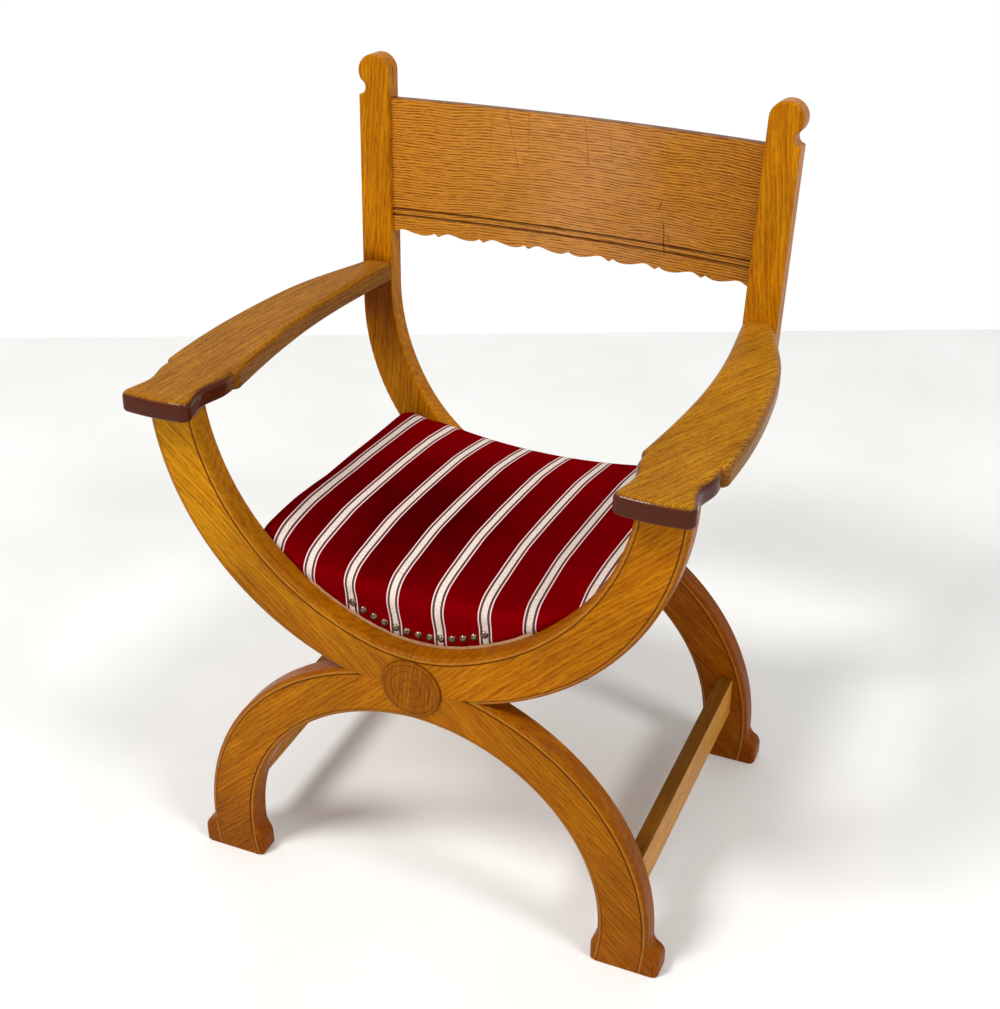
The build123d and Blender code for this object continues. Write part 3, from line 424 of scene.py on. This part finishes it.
# Each circle beside which arris marks run: how far its centre lies past the middle plane, the height of its
# centre, its radius, +1 where the wood is outside it or -1 inside, and from where to where it counts.
joint = 0.0485                      # half width at which cradle and side circle meet
arcQuirks = ((0.0, cradleCentre(frontU), frontU["cradle"], 1, (0.0, joint)),
             (frontU["past"], frontU["middle"], frontU["radius"], 1, (joint, 0.4)),
             (0.011, 0.644, 0.325, -1, (0.05, 0.4)))
legQuirks = ((0.008, 0.050, 0.301, -1, (0.05, 0.4)), (0.005, 0.054, 0.235, 1, (0.0, 0.4)))
panelCrossing = (
    (-0.070, 0.775, 0.865, -0.022, "#7E4A1A", 0.45),
    (-0.060, 0.800, 0.865, 0.002, "#8A5622", 0.40),
    (0.022, 0.790, 0.865, -0.012, "#7E4A1C", 0.45),
    (-0.110, 0.790, 0.865, 0.004, "#8A561C", 0.35),
    (0.052, 0.800, 0.860, -0.010, "#8A5622", 0.35),
    (0.126, 0.700, 0.745, -0.004, "#4A2404", 0.8),
    (0.133, 0.715, 0.728, -0.006, "#4A2404", 0.7),
    (0.113, 0.752, 0.772, 0.006, "#5A2E08", 0.6),
)

arcTone = {"seam": "#2A1404", "quirks": arcQuirks}
# The left arc: lighter colours as painted light from the left, and painted shade on its lower part.
arcLeftLitShadedTone = dict(arcTone, mid="#C88204", light="#ECAC14", shaded=("#C8AC80", -1.0, 0.0, 0.37, 0.56))
# Legs: painted shade near the floor.
legTone = {"dark": "#7C3E00", "mid": "#A86000", "light": "#CC8404", "quirks": legQuirks,
           "shaded": ("#D4C4A4", -1.0, 0.0, 0.02, 0.20)}
# Rear legs: painted shade over their lower part, under the seat.
rearLegTone = dict(legTone, shaded=("#CBAFA5", -1.0, 0.0, 0.30, 0.36))
postTone = {"dark": "#8A4400", "mid": "#B86E02", "light": "#DC940A"}
# The left post: painted shadow of the arm on its front face, just below the arm.
postLeftTone = dict(postTone, shaded=("#8A5224", 0.50, 0.58, 0.64, 0.67), shadedFront=True)
# The stretchers: painted shade on their tops, under the seat.
stretcherTone = {"mid": "#C88830", "light": "#E0A04C", "levelStain": ("#5A3204", 0.84)}
bossTone = {"turned": 0.0375, "mid": "#8E4E02", "light": "#B87006"}
armTone = {"mid": "#9A5E08", "light": "#B87E10", "dark": "#6C3A04", "poreDepth": 0.7, "poreFrom": 0.52,
           "edge": ("#4A1C06", 0.30), "gloss": 0.02, "coat": 0.28, "fleck": 0.30, "dash": (0.0065, 0.0009),
           "streak": (0.09, 0.008), "fibre": (0.014, 0.0009), "spread": (0.28, 0.78), "rows": (0.0025, 0.42)}
armRightTone = dict(armTone, mid="#AA6C0A", light="#C88E14", dark="#7A4606")
# The panel: painted shade on its top and bottom edges and on its groove walls.
panelTone = {"poreDepth": 0.45, "pore": "#5C3006", "fleck": 0.2, "rows": (0.0033, 0.9),
             "spread": (0.36, 0.70), "levelStain": ("#4A2206", 0.75), "crossing": panelCrossing,
             "tones": ((0.0, "#C0740A"), (0.3, "#BC7C30"), (0.55, "#C08650"), (0.8, "#A0641A"),
                       (1.0, "#8C4E04"))}

# Each plank's finish: its name, the way of its grain, where it was cut in the log, its tone and its nodes.
chord = 0.94                        # rise of a quarter's grain to one step aside
planks = (
    ("oakFrontArcRight", (1, 0, chord), (0.3, 0.1, 0.2), arcTone, "front_arc_right"),
    ("oakFrontArcLeft", (-1, 0, chord), (0.7, 0.4, 0.9), arcLeftLitShadedTone, "front_arc_left"),
    ("oakFrontLegRight", (1, 0, -chord), (1.3, 0.8, 0.2), legTone, "front_leg_right"),
    ("oakFrontLegLeft", (-1, 0, -chord), (2.3, 0.2, 0.5), legTone, "front_leg_left"),
    ("oakRearLegRight", (1, 0, -chord), (4.3, 0.6, 0.1), rearLegTone, "rear_leg_right"),
    ("oakRearLegLeft", (-1, 0, -chord), (5.1, 0.9, 0.7), rearLegTone, "rear_leg_left"),
    ("oakPostRight", (-0.10, 0.09, 1), (3.1, 1.4, 0.3), postTone, "rear_upright_right"),
    ("oakPostLeft", (0.06, 0.09, 1), (6.1, 1.1, 0.8), postLeftTone, "rear_upright_left"),
    ("oakStretcher", (0, 1, 0), (0.9, 2.0, 0.4), stretcherTone, "stretcher_left", "stretcher_right"),
    ("oakBoss", (0.1, 0, 1), (8.2, 0.3, 0.6), bossTone, "front_boss"),
    ("oakRearBoss", (0.1, 0, 1), (9.2, 0.3, 0.6), bossTone, "rear_boss"),
    ("oakArmRight", (0.45, 1, 0), (1.9, 3.0, 0.4), armRightTone, "armrest_right"),
    ("oakArmLeft", (0.12, 1, 0), (3.9, 5.0, 0.4), armTone, "armrest_left"),
    ("oakPanel", (1, 0, 0), (0.2, 0.5, 0.7), panelTone, "back_panel"),
)
for name, along, shift, tone, *names in planks:
    paint(oakMaterial(name, along, shift, tone), *names)
print("oak finished")


def plainWood(name, dark, light):
    # Beech rails and birch plywood: pale and fine grained, planed and left bare, so matt.
    material, add, shader = newMaterial(name)
    fibresTo = (18.0, 300.0, 300.0)     # fibres to the metre, along and across
    packed = add("VectorMath", (add("TexCoord", out="Object"), fibresTo), operation="MULTIPLY")
    fibres = add("TexNoise", {"Vector": packed, "Scale": 1.0, "Detail": 3.0})
    setSockets(shader, {
        "Base Color": add("ValToRGB", (fibres,), stops=((0.3, linear(dark)), (0.7, linear(light)))),
        "Roughness": 0.62,
        "Normal": add("Bump", {"Height": fibres, "Strength": 0.2, "Distance": 0.0003}),
    })
    return material


def metal(name, dark, light, roughness):
    # Pressed or turned, then dulled by age: mottled brown and bright in fine random specks.
    material, add, shader = newMaterial(name)
    grit = add("TexNoise", {"Vector": add("TexCoord", out="Object"), "Scale": 420.0, "Detail": 3.0})
    setSockets(shader, {
        "Base Color": add("ValToRGB", (grit,), stops=((0.35, linear(dark)), (0.65, linear(light)))),
        "Roughness": add("MapRange", (grit, 0.3, 0.7, roughness + 0.08, roughness - 0.06)),
        "Metallic": 1.0,
    })
    return material


paint(plainWood("beech", "#B98A5E", "#D0A67C"),
      "seat_rail_front", "seat_rail_rear", "seat_rail_left", "seat_rail_right",
      "front_frame_dowels", "rear_frame_dowels", "arm_dowels", "stretcher_dowels", "rail_dowels")
paint(plainWood("birchPlywood", "#BC9A6E", "#D6B88C"), "seat_deck")
paint(metal("agedBrass", "#423428", "#8A7660", 0.26), "seat_nails")
paint(metal("zincedSteel", "#8C8C8C", "#B4B4B2", 0.40), "rail_screws", "deck_screws")
print("metals and inner woods finished")


velvet = {
    "red": "#860006",
    "deepRed": "#3C0001",
    "cream": "#ECDCD0",
    "creamLow": "#C4B09E",
    "thread": "#F4D0CE",            # pink line along each edge of a stripe
    "twine": "#806068",             # grey and black twist between the pink and the cream
    "dark": "#1C0206",
    "stripes": (-0.1815, -0.1365, -0.0826, -0.0275, 0.0275, 0.0826, 0.1342, 0.1915),
    "core": 0.0034,                 # half width of the cream core
    "line": 0.0009,                 # thin black lines on both sides of the twist
    "cord": 0.0009,
    "edge": 0.0014,
    "soft": 0.00018,                # how sharply one colour ends
    "waver": 0.0006,                # how far a stripe strays
    "wavers": 28.0,                 # to the metre
    "twist": 0.0024,                # pitch of the twisted cord; the real one is finer than shows
    "twistSpan": (-0.6, 0.4, 0.35, 1.0),    # two places on the cord's wave, and how grey it is there
    "ribs": (900.0, 380.0, 1.0),    # of the woven stripes, to the metre
    "ribSpan": (0.3, 0.6),
    "pile": 22.0,                   # brushed patches, to the metre
    "fuzz": 900.0,                  # tufts to the metre; the real ones are finer than shows
    "hollow": (-0.055, -0.075),     # middle of the painted shade on the seat's top, darkest here
    "hollowReach": (0.00, 0.30),
    "slope": (1.0, 0.3),            # from a level place to a steep one: level places get painted shade
    "weights": (0.2, 0.2, 0.14, 0.34),  # of patches, tufts, painted slope shade and painted hollow shade
    "redSpan": (0.16, 0.70),        # shades that are deep red and red
    "sheen": ("#E01828", 0.10, 0.35),   # tint, weight and roughness
    "reliefWeights": (0.4, -0.5, -0.5, 0.3),    # of tufts, core, dark lines and cord
    "relief": (0.5, 0.0006),        # strength and height
}


def band(add, value, low, high, soft):
    # One between low and high with soft ends, else zero.
    rise = add("MapRange", (value, low - soft, low + soft))
    fall = add("MapRange", (value, high - soft, high + soft, 1.0, 0.0))
    return add("Math", (rise, fall), operation="MULTIPLY")


def velvetMaterial(v):
    # Woven cotton velvet with flat-woven stripes: the cut pile is painted darker where it faces up and in the
    # seat's hollow, as painted shade, and glows at grazing angles, and the stripes lie a little lower and
    # matt.
    material, add, shader = newMaterial("stripedVelvet")
    cloth = add("UVMap", uv_map="cloth")
    across, along = (add("SeparateXYZ", (cloth,), axis) for axis in "XY")
    waver = add("TexNoise", {"Vector": cloth, "Scale": v["wavers"], "Detail": 1.0})
    across = add("Math", (across, v["waver"] / 2), operation="SUBTRACT")
    across = add("Math", (waver, v["waver"], across), operation="MULTIPLY_ADD")
    away = 1.0
    for stripe in v["stripes"]:
        distance = add("Math", (across, stripe), operation="SUBTRACT")
        distance = add("Math", (distance,), operation="ABSOLUTE")
        away = add("Math", (away, distance), operation="MINIMUM")

    # Outwards from a stripe's middle: cream core, black line, twisted cord, black line and pink edge.
    inner = v["core"] + v["line"]
    outer = inner + v["cord"] + v["line"]
    brim = outer + v["edge"]
    core = band(add, away, -1.0, v["core"], v["soft"])
    dark = band(add, away, v["core"], brim, v["soft"])
    pink = band(add, away, outer, brim, v["soft"])
    slope = add("Math", (along, away), operation="ADD")
    slope = add("Math", (slope, 2 * math.pi / v["twist"]), operation="MULTIPLY")
    twist = add("MapRange", (add("Math", (slope,), operation="SINE"), *v["twistSpan"]))
    cord = add("Math", (band(add, away, inner, inner + v["cord"], v["soft"]), twist), operation="MULTIPLY")

    # The pile: brushed patches and tufts, with painted shade where it lies level and near the middle of the
    # seat's top.
    pile = add("TexNoise", {"Vector": cloth, "Scale": v["pile"], "Detail": 3.0})
    fuzz = add("TexNoise", {"Vector": cloth, "Scale": v["fuzz"], "Detail": 2.0})
    upright = add("SeparateXYZ", (add("TexCoord", out="Normal"),), "Z")
    lean = add("MapRange", (upright, *v["slope"]), interpolation_type="SMOOTHSTEP")
    fromShadeCentre = add("VectorMath", (cloth, v["hollow"] + (0.0,)), "Value", operation="DISTANCE")
    rise = add("MapRange", (fromShadeCentre, *v["hollowReach"]), interpolation_type="SMOOTHSTEP")
    toneAndShade = weighted(add, zip((pile, fuzz, lean, rise), v["weights"]))
    redTones = (linear(v["deepRed"]), linear(v["red"]))
    red = add("ValToRGB", (toneAndShade,), stops=zip(v["redSpan"], redTones))
    ribs = add("VectorMath", (cloth, v["ribs"]), operation="MULTIPLY")
    ribs = add("TexNoise", {"Vector": ribs, "Scale": 1.0, "Detail": 1.0})
    creamTones = (linear(v["creamLow"]), linear(v["cream"]))
    cream = add("ValToRGB", (ribs,), stops=zip(v["ribSpan"], creamTones))
    colour = layered(add, red, (
        ((dark,), linear(v["dark"]), "MIX"),
        ((cord,), linear(v["twine"]), "MIX"),
        ((pink,), linear(v["thread"]), "MIX"),
        ((core,), cream, "MIX"),
    ))
    height = weighted(add, zip((fuzz, core, dark, cord), v["reliefWeights"]))
    strength, distance = v["relief"]
    tint, weight, roughness = v["sheen"]
    setSockets(shader, {
        "Base Color": colour,
        "Roughness": 0.9,
        "Specular IOR Level": 0.0,
        "Sheen Weight": weight,
        "Sheen Roughness": roughness,
        "Sheen Tint": linear(tint),
        "Normal": add("Bump", {"Height": height, "Strength": strength, "Distance": distance}),
    })
    return material


# Pairs that end in Rise are where something starts and the run over which it comes in.
seat = {
    "half": 0.2140,                 # half width between the frames
    "cells": (64, 62, 14),          # across, front to back and up
    "low": 0.3785,
    "high": 0.470,                  # level to which the box is made before it takes its real height
    "rollFront": 0.031,
    "rollRear": 0.032,
    "rollSide": 0.020,
    "rollTop": 0.030,
    "rollLow": 0.006,
    "rollRise": (0.0, 0.625),
    # levels of the top at these distances behind the front plane, along the middle and along each side
    "topAt": (0.0, 0.030, 0.060, 0.090, 0.120, 0.160, 0.205, 0.260, 0.310, 0.355, 0.395, 0.430),
    "topMiddle": (0.459, 0.4625, 0.4645, 0.4655, 0.4657, 0.464, 0.4612, 0.4563, 0.4505, 0.4428, 0.4315, 0.418),
    "topSide": (0.469, 0.4715, 0.4738, 0.4748, 0.4748, 0.4722, 0.4682, 0.464, 0.4588, 0.4538, 0.449, 0.445),
    "crownHalf": 0.178,             # half width at which the top reaches its side level
    "crownMost": 1.15,
    "crownFront": 4.0,              # how late the crown rises to the sides: the power of the share out
    "crownRear": 1.9,
    "deckFront": 0.4385,
    "deckFall": (0.4299 - 0.4076) / 0.392,
    "deckLap": 0.004,               # how far the pad reaches below the deck's top
    "skirt": 0.034,                 # how far the cover hangs down past the deck's edge
    "skirtRise": (0.1895, 0.004),
    "frontHang": 0.032,             # depth over which the cover hangs to its lowest level in front
    "rearHang": 0.008,
    "rearLow": 0.372,
    "wallRise": (0.4, 0.4),
    "sideBulge": 0.0035,
    "sideTuck": 0.011,
    "sideRise": (0.15, 0.05),
    "sideSkinRise": (0.19, 0.02),
    "overFront": 0.0062,            # how far the cover stands into the front opening
    "overRear": 0.0068,
    "bulgeFront": 0.0065,
    "bulgeRise": (0.018, 0.034),
    "frontRound": 0.008,            # over which the cover rounds off beside the plank
    "rearRound": 0.012,
    "frontRise": (0.028, 0.030),
    "rearRise": (0.040, 0.040),
    "lean": math.tan(math.radians(5.1)),
    "leanStretch": 1.004,           # a height on the leaning rear planks, measured along them
    "leanRise": (0.55, 0.45),
    "clear": 0.0004,                # to the planks
    "hair": 1e-5,
}


def insideOpening(x, z, u):
    # Distance inward from the U's inner curve: its bottom is one circle and each side another, and the
    # two meet on the line through both centres.
    centre = cradleCentre(u)
    fall = u["middle"] - centre
    inCradle = (np.abs(x) * fall < (centre - z) * u["past"]) & (z < centre)
    bottom = u["cradle"] - np.hypot(x, z - centre)
    side = u["radius"] - np.hypot(np.abs(x) + u["past"], z - u["middle"])
    return np.where(inCradle, bottom, side)


def ease(value, start, run):
    # From 0 at the start to 1 a run further: 3 t^2 - 2 t^3.
    value = np.clip((value - start) / run, 0, 1)
    return value * value * (3 - 2 * value)


def quarterRound(value):
    # A quarter circle from 0 to 1: the root of 1 - (1 - t)^2.
    return np.sqrt(1 - (1 - np.clip(value, 0, 1)) ** 2)


def boxGrid(cells):
    # The skin of a block of cells: whole-number places of its points, and its four-sided faces.
    nx, ny, nz = cells
    i, j, k = np.meshgrid(np.arange(nx + 1), np.arange(ny + 1), np.arange(nz + 1), indexing="ij")
    skin = (i == 0) | (i == nx) | (j == 0) | (j == ny) | (k == 0) | (k == nz)
    number = np.full(skin.shape, -1)
    number[skin] = np.arange(skin.sum())
    places = np.argwhere(skin)
    faces = []
    for axis in range(3):
        for end in (0, -1):
            sheet = np.take(number, end, axis=axis)
            corners = [sheet[:-1, :-1], sheet[1:, :-1], sheet[1:, 1:], sheet[:-1, 1:]]
            quads = np.stack(corners, -1).reshape(-1, 4)
            outwards = (end == -1) != (axis == 1)
            faces.append(quads if outwards else quads[:, ::-1])
    return places, np.concatenate(faces)


def seatPoints(places, s):
    # A block with rounded edges. Each point moves out from the nearest point of a smaller block by the
    # rounding radii, then its height is stretched between the underside and the crowned top, and its
    # front and rear walls step into the openings of both frames.
    share = places / np.array(s["cells"])
    low = np.array([-s["half"], frontBack + s["clear"], s["low"]])
    high = np.array([s["half"], rearPlane, s["high"]])
    sharp = low + share * (high - low)
    upper = ease(share[:, 2:], *s["rollRise"])
    ends = np.where(share[:, 1:2] < 0.5, s["rollFront"], s["rollRear"])
    radii = np.concatenate([np.full_like(upper, s["rollSide"]), ends, np.full_like(upper, s["rollTop"])], 1)
    radii = s["rollLow"] + (radii - s["rollLow"]) * upper
    core = np.clip(sharp, low + radii, high - radii)
    way = (sharp - core) / radii
    points = core + radii * way / np.maximum(np.linalg.norm(way, axis=1, keepdims=True), 1e-9)
    x, y, z = points.T
    back = y - frontPlane

    # The top is higher at the sides, and the underside follows the deck inside and hangs down around it.
    middle = np.interp(back, s["topAt"], s["topMiddle"])
    sides = np.interp(back, s["topAt"], s["topSide"])
    power = s["crownFront"] + (s["crownRear"] - s["crownFront"]) * back / s["topAt"][-1]
    top = middle + (sides - middle) * np.clip(np.abs(x) / s["crownHalf"], 0, s["crownMost"]) ** power
    lower = s["deckFront"] - (y - frontBack) * s["deckFall"] - s["deckLap"]
    lower = lower - s["skirt"] * ease(np.abs(x), *s["skirtRise"])
    lower = np.where(back < s["frontHang"], np.minimum(lower, s["low"]), lower)
    lower = np.where(y > rearPlane - s["rearHang"], np.minimum(lower, s["rearLow"]), lower)
    level = (z - s["low"]) / (s["high"] - s["low"])
    lower = lower + (s["low"] - lower) * ease(level, *s["wallRise"])
    z = lower + level * (top - lower)

    # The side walls swell in the middle and tuck in below.
    bulge = s["sideBulge"] * np.sin(math.pi * np.clip(level, 0, 1)) - s["sideTuck"] * (1 - level) ** 2
    bulge = bulge * ease(np.abs(x), *s["sideRise"]) * ease(np.abs(sharp[:, 0]), *s["sideSkinRise"])
    x = x + np.sign(x) * bulge

    # The front wall and its roll step forward inside the front opening, rounded along the curve.
    opening = insideOpening(x, z, frontU)
    forward = s["overFront"] + s["bulgeFront"] * ease(opening, *s["bulgeRise"])
    y = y - forward * quarterRound(opening / s["frontRound"]) * (1 - ease(back, *s["frontRise"]))

    # The rear wall leans, and steps back inside the rear opening.
    lean = (z - seamHeight) * s["lean"]
    toRear = ease(share[:, 1], *s["leanRise"])
    opening = insideOpening(x, seamHeight + (z - seamHeight) * s["leanStretch"], rearU)
    far = ease(y, rearPlane - s["rearRise"][0], s["rearRise"][1])
    backward = (s["overRear"] + s["clear"]) * quarterRound(opening / s["rearRound"]) * far
    y = y + (lean - s["clear"]) * toRear + backward
    return np.stack([x, y, z], 1), sharp


def seatCover(s):
    places, faces = boxGrid(s["cells"])
    points, sharp = seatPoints(places, s)
    mesh = bpy.data.meshes.new("seatCover")
    mesh.from_pydata(points.tolist(), [], faces.tolist())
    # The cloth's own measure: across from the middle line and along from the front, on over the rolls.
    over = np.where(np.abs(sharp[:, 0]) > s["half"] - s["hair"], s["high"] - sharp[:, 2], 0)
    across = sharp[:, 0] + np.sign(sharp[:, 0]) * over
    fall = (s["high"] - sharp[:, 2]) * np.where(sharp[:, 1] < 0, -1, 1)
    onWall = (sharp[:, 1] < frontBack + s["clear"] + s["hair"]) | (sharp[:, 1] > rearPlane - s["hair"])
    along = sharp[:, 1] + np.where(onWall, fall, 0)
    layer = mesh.uv_layers.new(name="cloth")
    corner = np.empty(len(mesh.loops), int)
    mesh.loops.foreach_get("vertex_index", corner)
    layer.data.foreach_set("uv", np.stack([across, along], 1)[corner].ravel())
    mesh.polygons.foreach_set("use_smooth", np.ones(len(faces), bool))
    mesh.update()
    piece = bpy.data.objects.new("seatCover", mesh)
    scene.collection.objects.link(piece)
    return piece


settling = {
    "cap": 0.002,                   # most that the stuffing may push the cover out
    "pressure": 4.0,
    "tension": 30,
    "quality": 6,
    "frames": 20,
    "upRise": (0.425, 0.03),        # where the cover comes free of the planks
    "frontRise": (-0.004, 0.03),    # from the back of the front planks
    "rearRise": (-0.030, 0.025),    # from the rear planks
}


def settle(piece, s):
    # The stuffing pushes the cover out while the nailed edges hold, and no point moves beyond the cap.
    mesh = piece.data
    rest = np.empty(len(mesh.vertices) * 3, np.float32)
    mesh.vertices.foreach_get("co", rest)
    rest = rest.reshape(-1, 3)
    free = ease(rest[:, 2], *s["upRise"]) * ease(rest[:, 1] - frontBack, *s["frontRise"])
    free *= 1 - ease(rest[:, 1] - rearPlane, *s["rearRise"])
    held = piece.vertex_groups.new(name="held")
    strengths = np.round(1 - free, 1)
    for strength in np.unique(strengths):
        held.add(np.flatnonzero(strengths == strength).tolist(), float(strength), "REPLACE")
    cloth = piece.modifiers.new("cloth", "CLOTH")
    cloth.settings.effector_weights.gravity = 0
    cloth.settings.use_pressure = True
    cloth.settings.uniform_pressure_force = s["pressure"]
    cloth.settings.vertex_group_mass = "held"
    cloth.settings.tension_stiffness = s["tension"]
    cloth.settings.quality = s["quality"]
    cloth.collision_settings.use_self_collision = False
    for count in range(s["frames"]):
        scene.frame_set(count + 1)
    settled = piece.evaluated_get(bpy.context.evaluated_depsgraph_get()).to_mesh()
    moved = np.empty(len(rest) * 3, np.float32)
    settled.vertices.foreach_get("co", moved)
    shift = moved.reshape(-1, 3) - rest
    length = np.linalg.norm(shift, axis=1, keepdims=True)
    shift *= np.minimum(1, s["cap"] / np.maximum(length, 1e-9))
    piece.modifiers.clear()
    piece.vertex_groups.clear()
    mesh.vertices.foreach_set("co", (rest + shift).ravel())
    mesh.update()
    scene.frame_set(1)
    print("cover settled by up to", round(float(np.linalg.norm(shift, axis=1).max()) * 1000, 1), "mm")


cover = seatCover(seat)
settle(cover, settling)
smooth = cover.modifiers.new("smooth", "SUBSURF")
smooth.levels = smooth.render_levels = 1
cover.data.materials.append(velvetMaterial(velvet))
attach(cover, "root")
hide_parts("seat_cover", "seat_pad")
print("seat made")


room = {
    "wallRows": (338, 329),         # image rows at the left and right border where the floor meets the white
    "wallReach": 2.5,               # how far the floor goes on to each side, in widths of the view
    "floorNear": (2, -14),          # from its far corners: how much wider it gets, and how far it comes here
    "floorLevel": -0.0005,
    "floorTones": ("#EEEEEB", "#F8F8F6"),
    "clouds": 2.6,                  # trodden patches, to the metre
    "ambient": 0.50,
    # place, size and power of each lamp: a key from the left and a fill from the right
    "lamps": {"key": ((-1.9, -2.9, 5.2), 1.6, 215.0), "fill": ((3.3, -1.2, 4.4), 1.2, 95.0)},
    "aim": (0, 0, 0.4),
}


def groundUnder(px, py, c):
    # Where the camera's line through a place in the image meets the floor, at start - way * start.z / way.z.
    lens = scene.camera.matrix_world
    wide, high = c["image"]
    way = Vector(((px - wide / 2) / c["focalPixels"], (high / 2 - py) / c["focalPixels"], -1))
    way = lens.to_3x3() @ way
    start = lens.translation
    return start + way * (-start.z / way.z)


def makeFloor(r, c):
    # Painted concrete, swept and worn matt: nearly white, with faint trodden patches.
    left = groundUnder(0, r["wallRows"][0], c)
    right = groundUnder(c["image"][0], r["wallRows"][1], c)
    run = (right - left) * r["wallReach"]
    aside, forward = r["floorNear"]
    corners = [left - run, right + run, right + run + Vector((aside, forward, 0)),
               left - run + Vector((-aside, forward, 0))]
    mesh = bpy.data.meshes.new("floor")
    mesh.from_pydata([(p.x, p.y, r["floorLevel"]) for p in corners], [], [(0, 3, 2, 1)])
    floor = bpy.data.objects.new("floor", mesh)
    scene.collection.objects.link(floor)
    material, add, shader = newMaterial("paintedConcrete")
    cloud = add("TexNoise", {"Vector": add("TexCoord", out="Object"), "Scale": r["clouds"], "Detail": 5.0})
    stops = [(at, linear(tone)) for at, tone in zip((0.3, 0.7), r["floorTones"])]
    setSockets(shader, {"Base Color": add("ValToRGB", (cloud,), stops=stops), "Roughness": 0.55})
    mesh.materials.append(material)


def makeLight(r):
    # White all round: full white where it is seen or mirrored, and dimmer as light on the chair.
    world = bpy.data.worlds.new("studio")
    scene.world = world
    world.use_nodes = True
    world.node_tree.nodes.clear()
    add = partial(addNode, world.node_tree)
    seen = 0.0
    for ray in ("Is Camera Ray", "Is Glossy Ray", "Is Transmission Ray"):
        seen = add("Math", (seen, add("LightPath", out=ray)), operation="MAXIMUM")
    dim, full = (add("Background", (grey(1.0), strength)) for strength in (r["ambient"], 1.0))
    add("OutputWorld", (add("MixShader", (seen, dim, full)),))
    for name, (where, size, power) in r["lamps"].items():
        lamp = bpy.data.lights.new(name, "AREA")
        lamp.shape = "DISK"
        lamp.size = size
        lamp.energy = power
        hung = bpy.data.objects.new(name, lamp)
        scene.collection.objects.link(hung)
        hung.location = where
        hung.rotation_euler = (Vector(r["aim"]) - hung.location).to_track_quat("-Z", "Y").to_euler()


makeFloor(room, camera)
makeLight(room)
print("room lit")
